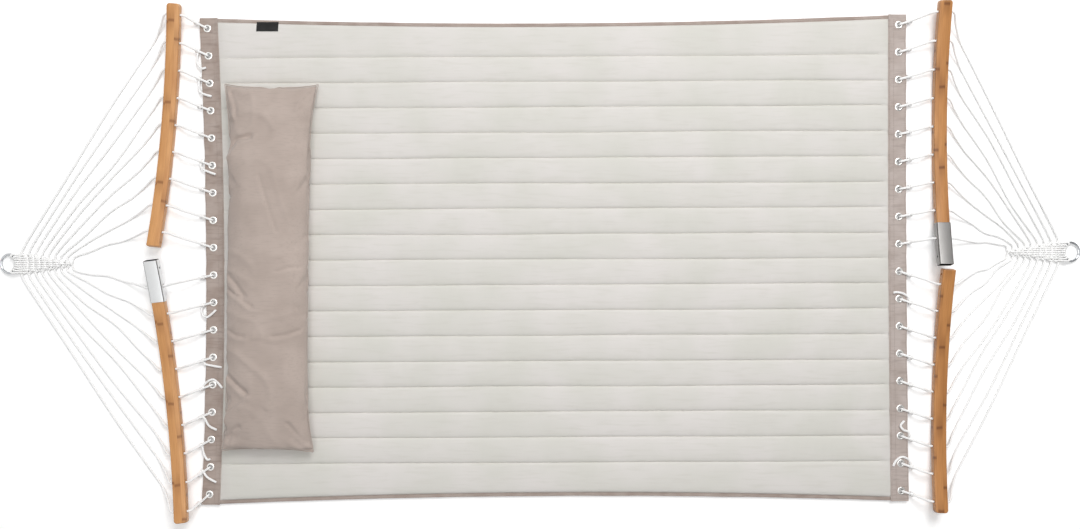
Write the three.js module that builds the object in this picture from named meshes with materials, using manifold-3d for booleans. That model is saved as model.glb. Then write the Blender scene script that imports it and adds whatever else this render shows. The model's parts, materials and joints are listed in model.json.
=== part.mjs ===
// Double hammock laid out flat on the floor: a quilted bed with eyelet hems, a bolster pillow, and at
// each end a bamboo spreader bar in two halves, eighteen cords, a woven clew and a steel ring.
// X runs along the hammock, Y across it and Z up. Lengths are millimetres, angles are degrees.
import * as THREE from 'three';
import { mergeGeometries, mergeVertices } from 'three/addons/utils/BufferGeometryUtils.js';
import Module from 'manifold-3d';

const wasm = await Module();
wasm.setup();

// Shared clearances
const GAP = 0.3; // between pieces that touch
const OVERRUN = 2; // how far a cutter reaches past what it cuts

// Bed
const BED_LENGTH = 2015; // between the outer edges of the two hems
const BED_END_WIDTH = 1386;
const BED_MID_WIDTH = 1346; // the long edges draw in towards the middle
const BED_X = 40; // where the middle of the bed lies between the rings
const BED_Y = 14;
const BED_YAW = 0.3;
const QUILT_HEIGHT = 18; // at the crown of a channel
const SEAM_HEIGHT = 7; // at a stitched seam
const QUILT_END_HEIGHT = 9; // where the quilt is sewn into the hem
const FIRST_SEAM_INSET = 95.4; // from the edge of the bed at its middle to the outermost seam
const CHANNELS = 18;
const CHANNEL_SHARES = [0, 0.25, 0.5, 0.75]; // places across a channel
const CROWN_SHARES = [0, 0.74, 1, 0.74]; // how much of the crown is reached there
const STATION_SHARES = [0, 0.015, 0.05, 0.27, 0.5, 0.73, 0.95, 0.985, 1]; // places along the bed
const FULLNESS_SHARES = [0, 0.62, 1, 1, 1, 1, 1, 0.62, 0]; // how full the quilt is there
const BINDING_WIDTH = 11;
const BINDING_HEIGHT = 9;
const BINDING_ROUND = 2.5;
const LABEL_LENGTH = 62;
const LABEL_WIDTH = 28;
const LABEL_THICKNESS = 1;
const LABEL_INSET = 8; // from the edge of the bed
const LABEL_FROM_END = 196.5; // from the left end of the bed to the middle of the label

// Hems and their eyelets
const HEM_WIDTH = 47;
const HEM_THICKNESS = 2.6;
const LEFT_HEM_BOW = 16; // the hem draws in towards the bed at its middle
const RIGHT_HEM_BOW = 3;
const EYELETS = 18;
const EYELET_END_MARGIN = 30; // from the end of the hem to the outermost eyelet
const EYELET_DIAMETER = 22;
const EYELET_BORE = 12;
const EYELET_RISE = 0.6; // flange above the cloth
const EYELET_INSET = 22; // from the outer edge of the hem
const EYELET_SIDES = 8;

// Pillow
const PILLOW_LENGTH = 1034; // over its corners
const PILLOW_END_WIDTH = 264;
const PILLOW_MID_WIDTH = 226;
const PILLOW_MID_LENGTH = 1018;
const PILLOW_THICKNESS = 92;
const PILLOW_SEAM_SHARE = 0.44; // height of the side seam
const PILLOW_FROM_END = 207.5; // from the left end of the bed to the middle of the pillow
const PILLOW_Y = -20;
const PILLOW_YAW = -0.9;
const PILLOW_ROWS = 19;
const PILLOW_COLUMNS = 10;

// Cords
const CORD_DIAMETER = 6;
const CORD_SIDES = 5;
const CORDS = EYELETS;
const CORD_LEAD = 8; // straight length beyond what a cord comes out of
const FAN_RISE = 85; // a cord climbs from the floor to the bar over this length
const KNOT_LENGTH = 15;
const KNOT_WIDTH = 14;
const KNOT_CLEARANCE = 1; // from the edge of the hem
const KNOT_SIDES = 6;
const KNOT_BANDS = 3;
const RUN_CLEARANCE = 0.8; // between a cord and the hem that it crosses
const BEND_STEPS = 4;
const BEND_INSET = 6; // from the middle of the eyelet to the middle of the bend round its rim

// Spreader bars, each in two halves that curve like a lath bent flat
const BAR_WIDTH = 36;
const BAR_THICKNESS = 22;
const BAR_BEND_RADIUS = 1750;
const BAR_EDGE_ROUND = 3;
const BAR_END_ROUND = 9;
const BAR_PLUG_ROUND = 3; // at the end that goes into the sleeve
const FREE_LENGTH = 690;
const FIXED_LENGTH = 748; // from the mouth of the sleeve to the outer end
const BAR_SEGMENTS = 8;
const HOLE_DIAMETER = 10;
const HOLE_SIDES = 8;
const FREE_HOLE_MARGIN = 31; // from the outer end to the first hole
const FREE_HOLE_PITCH = 77;
const FIXED_HOLE_MARGIN = 32;
const FIXED_HOLE_PITCH = 80;
const SLEEVE_LENGTH = 120;
const SOCKET_DEPTH = 40; // the empty part of the sleeve
const SLEEVE_WALL = 1.5;
const SLEEVE_CLEARANCE = 0.4;
const SLEEVE_ROUND = 4;
const LOCK_HOLE_DIAMETER = 7; // for the locking pin, through the sides
const LOCK_HOLE_FROM_MOUTH = 24;
const LOCK_HOLE_FROM_PLUG_END = 14;

// Where the inner end of each half lies, as a standoff from the end of the bed and a place across,
// and how far it turns from the Y axis on its way out
const LEFT_FREE_STANDOFF = 117.5;
const LEFT_FREE_INNER_Y = 50;
const LEFT_FREE_YAW = 4.8;
const LEFT_FIXED_STANDOFF = 122.5;
const LEFT_FIXED_INNER_Y = 12;
const LEFT_FIXED_YAW = 6.6;
const RIGHT_FREE_STANDOFF = 99.5;
const RIGHT_FREE_INNER_Y = -13;
const RIGHT_FREE_YAW = 1.8;
const RIGHT_FIXED_STANDOFF = 88.5;
const RIGHT_FIXED_INNER_Y = -1;
const RIGHT_FIXED_YAW = 0;

// Rings and clews
const RING_DIAMETER = 60;
const RING_WIRE = 7;
const RING_SEGMENTS = 24;
const RING_SIDES = 6;
const LEFT_RING_REACH = 543.5; // from the end of the bed to the middle of the ring
const LEFT_RING_Y = 2;
const RIGHT_RING_REACH = 463.5;
const RIGHT_RING_Y = 36;
const LOOPS = 9; // cord loops round the ring
const LOOP_SPREAD = 66; // on each side of the ring's bed side
const LOOP_VALLEY = 1.5; // depth of the groove between two loops
const CLEW_STATIONS = 9; // one cord leaves on each side at each of them
const STATION_PITCH = 17;
const CLEW_RING_WIDTH = 56;
const CLEW_TIP_WIDTH = 14;
const CLEW_LAYERS = 2;
const CLEW_TUCK = 0.6; // how far the clew's end lies under the round of the loops
const STRAND_VALLEY = 1.6;
const WEAVE_WAVE = 0.7;

// How far each cord sways sideways on its way to the bar, at two places along it
const SWAY_PLACE_SHARES = [0.34, 0.7];
const LEFT_SWAYS = [
  [4, 6], [7, 4], [9, 2], [6, -6], [10, 7], [8, 9], [3, 9], [6, 4], [2, 5],
  [-3, 4], [-4, -7], [-6, -3], [-9, 6], [-6, -6], [-10, 3], [-7, -8], [-6, -4], [-4, -6],
];
const RIGHT_SWAYS = [
  [0, 1], [2, 1], [5, 9], [-5, 5], [7, 9], [-4, 6], [8, 3], [4, -5], [3, 4],
  [-3, -6], [4, -5], [-8, -4], [3, -8], [-9, -9], [-3, 5], [-8, 3], [-5, -8], [-3, -5],
];

// How high each lacing cord humps between the bar and the hem
const LEFT_HUMPS = [
  0, 2, 4, 6, 8, 14, 8, 10, 9,
  16, 8, 12, 10, 14, 9, 8, 5, 2,
];
const RIGHT_HUMPS = [
  0, 0, 0, 5, 8, 12, 9, 12, 14,
  10, 13, 12, 14, 10, 12, 9, 10, 5,
];

// Free tails of the knots that lie on the hem: which cord, and where the tail goes from its knot.
// Each place is [towards the bed, along +Y, above the floor].
const LEFT_TAILS = [
  [1, [[6, 13, 17], [22, 19, 14], [34, 21, 14]]],
  [2, [[6, 13, 17], [20, 20, 14], [31, 27, 14]]],
  [5, [[6, 13, 17], [20, 17, 14], [36, 20, 14]]],
  [10, [[6, 13, 17], [20, 19, 14], [33, 25, 14]]],
  [12, [[6, 14, 17], [22, 21, 14], [42, 24, 14]]],
  [13, [[6, -13, 17], [20, -18, 14], [35, -21, 14]]],
  [14, [[6, -13, 17], [17, -22, 14], [29, -30, 14]]],
  [15, [[6, -13, 17], [20, -19, 14], [33, -21, 14]]],
  [16, [[6, 13, 17], [20, 18, 14], [34, 19, 14]]],
];
const RIGHT_TAILS = [
  [9, [[6, -13, 17], [18, -17, 14], [30, -19, 14]]],
  [14, [[6, 13, 17], [18, 18, 14], [31, 21, 14]]],
  [15, [[6, -13, 17], [19, -19, 14], [32, -20, 14]]],
];

// Sizes that follow from the ones above
const CHANNEL_PITCH = (BED_MID_WIDTH - 2 * FIRST_SEAM_INSET) / (CHANNELS - 2);
const EYELET_PITCH = (BED_END_WIDTH - 2 * EYELET_END_MARGIN) / (EYELETS - 1);
const LABEL_X = LABEL_FROM_END - BED_LENGTH / 2; // from the middle of the bed
const PILLOW_X = PILLOW_FROM_END - BED_LENGTH / 2; // from the middle of the bed
const FLOOR_CORD_Z = CORD_DIAMETER / 2 + GAP;
const HEM_BOTTOM = FLOOR_CORD_Z + CORD_DIAMETER / 2 + RUN_CLEARANCE;
const HEM_TOP = HEM_BOTTOM + HEM_THICKNESS;
const TOP_RUN_Z = HEM_TOP + EYELET_RISE + RUN_CLEARANCE + CORD_DIAMETER / 2;
const RING_RADIUS = (RING_DIAMETER - RING_WIRE) / 2;
const LOOP_RADIUS = RING_WIRE / 2 + GAP + CORD_DIAMETER; // outside of a loop round the wire
// The outermost loops rest on the floor, which lifts the ring's bed side off it
const LOOP_LIFT = LOOP_RADIUS + GAP - RING_WIRE / 2;
const RING_TILT = Math.asin(LOOP_LIFT / (RING_RADIUS * (1 + Math.cos((LOOP_SPREAD * Math.PI) / 180))));
const CLEW_HEIGHT = CLEW_LAYERS * CORD_DIAMETER;
const HOLE_INRADIUS = (HOLE_DIAMETER / 2) * Math.cos(Math.PI / HOLE_SIDES);
const HOLE_DROP = HOLE_INRADIUS - CORD_DIAMETER / 2 - GAP; // a cord lies low in its hole
const SLEEVE_WIDTH = BAR_WIDTH + 2 * (SLEEVE_CLEARANCE + SLEEVE_WALL);
const beyondBed = (out, distance) => BED_X + out * (BED_LENGTH / 2 + distance);
const SIDES = [
  { name: 'left', out: -1, bow: LEFT_HEM_BOW,
    ringX: beyondBed(-1, LEFT_RING_REACH), ringY: LEFT_RING_Y,
    sways: LEFT_SWAYS, humps: LEFT_HUMPS, tails: LEFT_TAILS, freeIsUpper: true,
    free: [beyondBed(-1, LEFT_FREE_STANDOFF), LEFT_FREE_INNER_Y, LEFT_FREE_YAW],
    fixed: [beyondBed(-1, LEFT_FIXED_STANDOFF), LEFT_FIXED_INNER_Y, LEFT_FIXED_YAW] },
  { name: 'right', out: 1, bow: RIGHT_HEM_BOW,
    ringX: beyondBed(1, RIGHT_RING_REACH), ringY: RIGHT_RING_Y,
    sways: RIGHT_SWAYS, humps: RIGHT_HUMPS, tails: RIGHT_TAILS, freeIsUpper: false,
    free: [beyondBed(1, RIGHT_FREE_STANDOFF), RIGHT_FREE_INNER_Y, RIGHT_FREE_YAW],
    fixed: [beyondBed(1, RIGHT_FIXED_STANDOFF), RIGHT_FIXED_INNER_Y, RIGHT_FIXED_YAW] },
];

// Materials
const quiltCloth = new THREE.MeshStandardMaterial({ color: '#dedcd3', roughness: 0.95, metalness: 0 });
const hemCloth = new THREE.MeshStandardMaterial({ color: '#b3a69f', roughness: 0.95, metalness: 0 });
const pillowCloth = new THREE.MeshStandardMaterial({ color: '#b3a59c', roughness: 0.95, metalness: 0 });
const labelCloth = new THREE.MeshStandardMaterial({ color: '#1c1b1b', roughness: 0.8, metalness: 0 });
const cordCotton = new THREE.MeshStandardMaterial({ color: '#f4f3ee', roughness: 0.95, metalness: 0 });
const lightBamboo = new THREE.MeshStandardMaterial({ color: '#d8a670', roughness: 0.5, metalness: 0 });
const darkBamboo = new THREE.MeshStandardMaterial({ color: '#be8550', roughness: 0.5, metalness: 0 });
const brushedSteel = new THREE.MeshStandardMaterial({ color: '#b9bbbd', roughness: 0.4, metalness: 1 });
const ringSteel = new THREE.MeshStandardMaterial({ color: '#8f9193', roughness: 0.25, metalness: 1 });

const radians = THREE.MathUtils.degToRad;
const vector = (x, y, z) => new THREE.Vector3(x, y, z);

// A geometry reduced to its shared corners and faces
function bare(geometry) {
  const copy = geometry.clone();
  copy.deleteAttribute('normal');
  copy.deleteAttribute('uv');
  return mergeVertices(copy);
}

function solidOf(geometry) {
  const merged = bare(geometry);
  return new wasm.Manifold(new wasm.Mesh({
    numProp: 3,
    vertProperties: new Float32Array(merged.attributes.position.array),
    triVerts: new Uint32Array(merged.index.array),
  }));
}

function geometryOf(solid) {
  const mesh = solid.getMesh();
  const geometry = new THREE.BufferGeometry();
  geometry.setAttribute('position', new THREE.BufferAttribute(new Float32Array(mesh.vertProperties), 3));
  geometry.setIndex(new THREE.BufferAttribute(new Uint32Array(mesh.triVerts), 1));
  return geometry;
}

function facedGeometry(points, faces) {
  const geometry = new THREE.BufferGeometry();
  geometry.setFromPoints(points);
  geometry.setIndex(faces);
  return geometry;
}

// A closed body lofted through rings of points, each ring running the same way round
function loft(rings, closedLoop = false) {
  const count = rings[0].length;
  const faces = [];
  const spans = closedLoop ? rings.length : rings.length - 1;
  for (let i = 0; i < spans; i += 1) {
    const here = i * count;
    const next = ((i + 1) % rings.length) * count;
    for (let j = 0; j < count; j += 1) {
      const k = (j + 1) % count;
      faces.push(here + j, here + k, next + k, here + j, next + k, next + j);
    }
  }
  if (!closedLoop) {
    const last = (rings.length - 1) * count;
    for (let j = 1; j < count - 1; j += 1) {
      faces.push(0, j + 1, j, last, last + j, last + j + 1);
    }
  }
  return facedGeometry(rings.flat(), faces);
}

// The border of a sheet of rows by columns, counterclockwise from above
function borderOf(rows, columns) {
  const border = [];
  for (let i = 0; i < rows - 1; i += 1) border.push([i, 0]);
  for (let j = 0; j < columns - 1; j += 1) border.push([rows - 1, j]);
  for (let i = rows - 1; i > 0; i -= 1) border.push([i, columns - 1]);
  for (let j = columns - 1; j > 0; j -= 1) border.push([0, j]);
  return border;
}

// A closed body between an upper sheet and a lower one that meet along their border
function seamedBody(rows, columns, upper, lower) {
  const points = [];
  for (const sheet of [upper, lower]) {
    for (let i = 0; i < rows; i += 1) {
      for (let j = 0; j < columns; j += 1) points.push(sheet(i, j));
    }
  }
  const above = (i, j) => i * columns + j;
  const below = (i, j) => rows * columns + above(i, j);
  const faces = [];
  for (let i = 0; i < rows - 1; i += 1) {
    for (let j = 0; j < columns - 1; j += 1) {
      faces.push(above(i, j), above(i + 1, j), above(i + 1, j + 1));
      faces.push(above(i, j), above(i + 1, j + 1), above(i, j + 1));
      faces.push(below(i, j), below(i + 1, j + 1), below(i + 1, j));
      faces.push(below(i, j), below(i, j + 1), below(i + 1, j + 1));
    }
  }
  return facedGeometry(points, faces);
}

// A closed body under a sheet, with upright sides and a flat base on the floor
function bodyOnFloor(rows, columns, upper) {
  const points = [];
  for (let i = 0; i < rows; i += 1) {
    for (let j = 0; j < columns; j += 1) points.push(upper(i, j));
  }
  const above = (i, j) => i * columns + j;
  const faces = [];
  for (let i = 0; i < rows - 1; i += 1) {
    for (let j = 0; j < columns - 1; j += 1) {
      faces.push(above(i, j), above(i + 1, j), above(i + 1, j + 1));
      faces.push(above(i, j), above(i + 1, j + 1), above(i, j + 1));
    }
  }
  const border = borderOf(rows, columns);
  const first = points.length;
  const contour = border.map(([i, j]) => {
    const point = points[above(i, j)];
    points.push(vector(point.x, point.y, 0));
    return new THREE.Vector2(point.x, point.y);
  });
  border.forEach(([i, j], n) => {
    const m = (n + 1) % border.length;
    const [k, l] = border[m];
    faces.push(first + n, first + m, above(k, l), first + n, above(k, l), above(i, j));
  });
  THREE.ShapeUtils.triangulateShape(contour, []).forEach(([a, b, c]) => {
    faces.push(first + a, first + c, first + b);
  });
  return facedGeometry(points, faces);
}

// A box section with cut corners, counterclockwise, as [across, up] pairs
function roundedSection(width, height, round) {
  const w = width / 2;
  const h = height / 2;
  return [
    [w, -h + round], [w, h - round], [w - round, h], [-w + round, h],
    [-w, h - round], [-w, -h + round], [-w + round, -h], [w - round, -h],
  ];
}

function named(name, geometry, material) {
  const mesh = new THREE.Mesh(bare(geometry), material);
  mesh.name = name;
  return mesh;
}

// Bed: the quilt, its bindings and the label
function halfWidthAt(x) {
  const share = x / (BED_LENGTH / 2);
  return BED_MID_WIDTH / 2 + ((BED_END_WIDTH - BED_MID_WIDTH) / 2) * share * share;
}

// The outer edge of a hem, bowed in towards the bed
function hemEdgeX(out, bow, y) {
  const share = y / (BED_END_WIDTH / 2);
  return out * (BED_LENGTH / 2 - bow * (1 - share * share));
}

function bedX(share, y) {
  const left = hemEdgeX(-1, LEFT_HEM_BOW, y) + HEM_WIDTH + GAP;
  const right = hemEdgeX(1, RIGHT_HEM_BOW, y) - HEM_WIDTH - GAP;
  return THREE.MathUtils.lerp(left, right, share);
}

function quilt() {
  const steps = CHANNEL_SHARES.length;
  const columns = CHANNELS * steps + 1;
  return bodyOnFloor(STATION_SHARES.length, columns, (i, j) => {
    const edge = halfWidthAt(bedX(STATION_SHARES[i], BED_END_WIDTH / 2)) - BINDING_WIDTH - GAP;
    const seamY = (n) => {
      if (n === 0) return -edge;
      return n === CHANNELS ? edge : (n - CHANNELS / 2) * CHANNEL_PITCH;
    };
    const channel = Math.min(Math.floor(j / steps), CHANNELS - 1);
    const step = j - channel * steps;
    const across = step === steps ? 1 : CHANNEL_SHARES[step];
    const crown = step === steps ? 0 : CROWN_SHARES[step];
    const y = THREE.MathUtils.lerp(seamY(channel), seamY(channel + 1), across);
    const full = SEAM_HEIGHT + (QUILT_HEIGHT - SEAM_HEIGHT) * crown;
    return vector(
      bedX(STATION_SHARES[i], y),
      y,
      THREE.MathUtils.lerp(QUILT_END_HEIGHT, full, FULLNESS_SHARES[i]),
    );
  });
}

function binding(edgeSign) {
  const section = roundedSection(BINDING_WIDTH, BINDING_HEIGHT, BINDING_ROUND);
  const rings = STATION_SHARES.map((share) => {
    const edge = halfWidthAt(bedX(share, BED_END_WIDTH / 2));
    const y = edgeSign * (edge - BINDING_WIDTH / 2);
    return section.map(([across, up]) => (
      vector(bedX(share, y + across), y + across, BINDING_HEIGHT / 2 + up)));
  });
  return loft(rings);
}

// The label leans from the top of the binding up the first channel of the quilt
function label() {
  const edge = halfWidthAt(LABEL_X);
  const seam = (CHANNELS / 2 - 1) * CHANNEL_PITCH;
  const rimY = edge - BINDING_WIDTH + BINDING_ROUND;
  const riseY = THREE.MathUtils.lerp(edge - BINDING_WIDTH - GAP, seam, CHANNEL_SHARES[1]);
  const riseZ = SEAM_HEIGHT + (QUILT_HEIGHT - SEAM_HEIGHT) * CROWN_SHARES[1];
  const lean = Math.atan2(riseZ - BINDING_HEIGHT, rimY - riseY);
  const middleY = edge - LABEL_INSET - (LABEL_WIDTH / 2) * Math.cos(lean);
  const middleZ = BINDING_HEIGHT + (rimY - middleY) * Math.tan(lean);
  const lift = (2 * GAP + LABEL_THICKNESS / 2) / Math.cos(lean);
  const box = new THREE.BoxGeometry(LABEL_LENGTH, LABEL_WIDTH, LABEL_THICKNESS);
  return box.rotateX(-lean).translate(LABEL_X, middleY, middleZ + lift);
}

// A hem is a flat strip with a row of flanged eyelets
function eyeletPlace(out, bow, n) {
  const y = ((EYELETS - 1) / 2 - n) * EYELET_PITCH;
  return vector(hemEdgeX(out, bow, y) - out * EYELET_INSET, y, HEM_TOP);
}

function hem(side) {
  const outer = [];
  const inner = [];
  for (let n = 0; n <= EYELETS; n += 1) {
    const y = (n / EYELETS - 1 / 2) * BED_END_WIDTH;
    const x = hemEdgeX(side.out, side.bow, y);
    outer.push(new THREE.Vector2(x, y));
    inner.unshift(new THREE.Vector2(x - side.out * HEM_WIDTH, y));
  }
  const strip = new THREE.ExtrudeGeometry(
    new THREE.Shape([...outer, ...inner]),
    { depth: HEM_THICKNESS, bevelEnabled: false },
  ).translate(0, 0, HEM_BOTTOM);
  const flanges = [];
  const bores = [];
  for (let n = 0; n < EYELETS; n += 1) {
    const place = eyeletPlace(side.out, side.bow, n);
    const flangeHeight = HEM_THICKNESS / 2 + EYELET_RISE;
    const flange = new THREE.CylinderGeometry(
      EYELET_DIAMETER / 2, EYELET_DIAMETER / 2, flangeHeight, EYELET_SIDES);
    const bore = new THREE.CylinderGeometry(
      EYELET_BORE / 2, EYELET_BORE / 2, 2 * (HEM_THICKNESS + OVERRUN), EYELET_SIDES);
    flange.rotateX(Math.PI / 2).translate(place.x, place.y, HEM_TOP + EYELET_RISE - flangeHeight / 2);
    bore.rotateX(Math.PI / 2).translate(place.x, place.y, HEM_TOP);
    flanges.push(flange);
    bores.push(bore);
  }
  const solid = solidOf(strip)
    .add(solidOf(mergeGeometries(flanges)))
    .subtract(solidOf(mergeGeometries(bores)));
  return geometryOf(solid);
}

// Pillow: a bolster with a side seam, drawn-in sides and pointed corners
function pillow() {
  const seam = PILLOW_THICKNESS * PILLOW_SEAM_SHARE;
  const spread = (n, count) => -Math.cos((Math.PI * n) / (count - 1));
  const outline = (u, v) => {
    const bulgeIn = (PILLOW_END_WIDTH - PILLOW_MID_WIDTH) / 2;
    const shortIn = (PILLOW_LENGTH - PILLOW_MID_LENGTH) / 2;
    return [
      u * (PILLOW_MID_WIDTH / 2 + bulgeIn * v ** 4),
      v * (PILLOW_MID_LENGTH / 2 + shortIn * u ** 4),
    ];
  };
  const sheet = (height, roundness) => (i, j) => {
    const u = spread(j, PILLOW_COLUMNS);
    const v = spread(PILLOW_ROWS - 1 - i, PILLOW_ROWS);
    const [x, y] = outline(u, v);
    const swell = ((1 - u * u) * (1 - v ** 6)) ** roundness;
    return vector(x, y, seam + height * swell);
  };
  // Rows run from +Y to -Y and columns along +X, which keeps the faces pointing out
  const upper = sheet(PILLOW_THICKNESS - seam, 1 / 2);
  const lower = sheet(-seam, 1 / 4);
  return seamedBody(PILLOW_ROWS, PILLOW_COLUMNS, upper, lower)
    .translate(0, 0, QUILT_HEIGHT + GAP);
}

// Spreader bars. A half lies like a shallow smile: Y runs from the middle of its arc to its outer
// end, and it touches the floor at its lowest point.
function barPoint(along, length, across, up) {
  const angle = (along - length / 2) / BAR_BEND_RADIUS;
  const radius = BAR_BEND_RADIUS - up;
  return vector(
    across,
    radius * Math.sin(angle),
    BAR_BEND_RADIUS + BAR_THICKNESS / 2 - radius * Math.cos(angle),
  );
}

function barRing(along, length, width, height, round) {
  return roundedSection(width, height, round).map(([across, up]) => (
    barPoint(along, length, -across, up)));
}

// Width lost to a rounded corner at a distance from the end
function cornerLoss(distance, round) {
  if (distance >= round) return 0;
  return round - Math.sqrt(round * round - (round - distance) ** 2);
}

// Places along a half, from its inner end to its outer end, with extra ones in the round corners
function barStations(start, end, innerRound, marks) {
  const cornerShares = [0, 0.25, 1];
  const stations = cornerShares.map((share) => start + share * innerRound);
  stations.push(...marks);
  const from = Math.max(...stations);
  const segments = BAR_SEGMENTS;
  for (let n = 1; n < segments; n += 1) {
    stations.push(THREE.MathUtils.lerp(from, end - BAR_END_ROUND, n / segments));
  }
  stations.push(...cornerShares.map((share) => end - share * BAR_END_ROUND));
  return stations.sort((a, b) => a - b);
}

function bar(start, length, holes, marks, lockHoles) {
  const rings = barStations(start, length, BAR_PLUG_ROUND, marks).map((along) => {
    const inner = cornerLoss(along - start, BAR_PLUG_ROUND);
    const outer = cornerLoss(length - along, BAR_END_ROUND);
    return barRing(along, length, BAR_WIDTH - 2 * (inner + outer), BAR_THICKNESS, BAR_EDGE_ROUND);
  });
  const cutters = [
    ...holes.map((along) => crossCutter(along, length, HOLE_DIAMETER)),
    ...lockHoles.map((along) => crossCutter(along, length, LOCK_HOLE_DIAMETER)),
  ];
  return geometryOf(solidOf(loft(rings)).subtract(solidOf(mergeGeometries(cutters))));
}

// A hole through the sides, square to the bar and level
function crossCutter(along, length, diameter) {
  const reach = SLEEVE_WIDTH + 2 * OVERRUN;
  const cutter = new THREE.CylinderGeometry(diameter / 2, diameter / 2, reach, HOLE_SIDES);
  const place = barPoint(along, length, 0, 0);
  return cutter.rotateY(Math.PI / HOLE_SIDES).rotateZ(Math.PI / 2).translate(place.x, place.y, place.z);
}

const SLEEVE_STATIONS = [0, SOCKET_DEPTH, (SOCKET_DEPTH + SLEEVE_LENGTH) / 2, SLEEVE_LENGTH];

function sleeve() {
  const ringsOf = (spread, round) => SLEEVE_STATIONS.map((along) => barRing(
    along, FIXED_LENGTH, BAR_WIDTH + 2 * spread, BAR_THICKNESS + 2 * spread, round));
  const outside = ringsOf(SLEEVE_CLEARANCE + SLEEVE_WALL, SLEEVE_ROUND);
  const inside = ringsOf(SLEEVE_CLEARANCE, BAR_EDGE_ROUND);
  const shell = loft([...outside, ...inside.reverse()], true);
  const cutters = [
    crossCutter(fixedHoles()[0], FIXED_LENGTH, HOLE_DIAMETER),
    crossCutter(LOCK_HOLE_FROM_MOUTH, FIXED_LENGTH, LOCK_HOLE_DIAMETER),
  ];
  return geometryOf(solidOf(shell).subtract(solidOf(mergeGeometries(cutters))));
}

// Cord holes, as distances from the inner end, the innermost first
function holesFrom(length, margin, pitch) {
  return Array.from({ length: CORDS / 2 }, (_, n) => length - margin - (CORDS / 2 - 1 - n) * pitch);
}

function freeHoles() {
  return holesFrom(FREE_LENGTH, FREE_HOLE_MARGIN, FREE_HOLE_PITCH);
}

function fixedHoles() {
  return holesFrom(FIXED_LENGTH, FIXED_HOLE_MARGIN, FIXED_HOLE_PITCH);
}

// A half's group, set down by its inner end. It turns about that end, away from the rings.
function barGroup(side, isFree) {
  const [x, y, yaw] = isFree ? side.free : side.fixed;
  const length = isFree ? FREE_LENGTH : FIXED_LENGTH;
  const isUpper = isFree === side.freeIsUpper;
  const group = new THREE.Group();
  const lean = side.name === 'left' ? yaw : -yaw;
  group.rotation.z = isUpper ? radians(-lean) : Math.PI + radians(lean);
  const inner = barPoint(0, length, 0, 0).applyEuler(group.rotation);
  group.position.set(x - inner.x, y - inner.y, 0);
  group.updateMatrixWorld();
  return group;
}

// Rings. A ring leans on its cord loops at the bed side and touches the floor at the far side.
function ringGroup(side) {
  const group = new THREE.Group();
  const middleZ = RING_WIRE / 2 + RING_RADIUS * Math.sin(RING_TILT);
  group.position.set(side.ringX, side.ringY, middleZ);
  group.rotation.y = side.out * RING_TILT;
  group.updateMatrixWorld();
  return group;
}

// The row of cord loops round the bed side of the ring's wire, as one hollow body
function ringLoops(side) {
  const stations = 2 * LOOPS;
  const ringAt = (n, radius) => {
    const angle = radians(THREE.MathUtils.lerp(-LOOP_SPREAD, LOOP_SPREAD, n / stations));
    const toBed = side.out < 0 ? angle : Math.PI + angle;
    const ring = [];
    for (let k = 0; k < RING_SIDES; k += 1) {
      const round = (-2 * Math.PI * k) / RING_SIDES;
      const reach = RING_RADIUS + radius * Math.cos(round);
      ring.push(vector(reach * Math.cos(toBed), reach * Math.sin(toBed), radius * Math.sin(round)));
    }
    return ring;
  };
  const outside = [];
  const inside = [];
  for (let n = 0; n <= stations; n += 1) {
    const crest = n % 2 === 1;
    outside.push(ringAt(n, LOOP_RADIUS - (crest ? 0 : LOOP_VALLEY)));
    inside.unshift(ringAt(n, RING_WIRE / 2 + GAP));
  }
  return loft([...outside, ...inside], true);
}

// Clew: a flat woven band that starts at the ring and narrows as the cords leave it. A place on it is
// given by the row, from the ring to the tip, and by a share of the half width.
function clewPlace(side, row, share) {
  const start = RING_RADIUS + LOOP_RADIUS + GAP - CLEW_TUCK;
  const rowShare = row / CLEW_STATIONS;
  const y = (share * THREE.MathUtils.lerp(CLEW_RING_WIDTH, CLEW_TIP_WIDTH, rowShare)) / 2;
  const hollow = start - Math.sqrt(start * start - y * y);
  const x = start + row * STATION_PITCH - hollow * (1 - rowShare);
  return vector(side.ringX - side.out * x, side.ringY + y, 0);
}

function clew(side) {
  const rows = CLEW_STATIONS + 1;
  const columns = 2 * LOOPS + 1;
  return bodyOnFloor(rows, columns, (i, j) => {
    const place = clewPlace(side, side.out < 0 ? i : rows - 1 - i, (2 * j) / (columns - 1) - 1);
    const isOver = (i + (j - 1) / 2) % 2 === 0;
    const inset = j % 2 === 0 ? STRAND_VALLEY : Number(!isOver) * WEAVE_WAVE;
    return place.setZ(CLEW_HEIGHT - inset);
  });
}

// Cords
class RouteCurve extends THREE.Curve {
  constructor(points) {
    super();
    this.points = points;
  }

  getPoint(share) {
    const place = share * (this.points.length - 1);
    const n = Math.min(Math.floor(place), this.points.length - 2);
    return this.points[n].clone().lerp(this.points[n + 1], place - n);
  }

  getPointAt(share) {
    return this.getPoint(share);
  }

  getTangentAt(share) {
    const n = Math.round(share * (this.points.length - 1));
    const leg = (from, to) => this.points[to].clone().sub(this.points[from]).normalize();
    const last = this.points.length - 1;
    const before = n > 0 ? leg(n - 1, n) : leg(0, 1);
    const after = n < last ? leg(n, n + 1) : leg(last - 1, last);
    return before.add(after).normalize();
  }
}

function tube(points) {
  const outline = Array.from({ length: CORD_SIDES }, (_, n) => {
    const angle = (2 * Math.PI * n) / CORD_SIDES;
    return new THREE.Vector2(Math.cos(angle), Math.sin(angle)).multiplyScalar(CORD_DIAMETER / 2);
  });
  return new THREE.ExtrudeGeometry(new THREE.Shape(outline), {
    steps: points.length - 1,
    extrudePath: new RouteCurve(points),
    bevelEnabled: false,
  });
}

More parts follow.
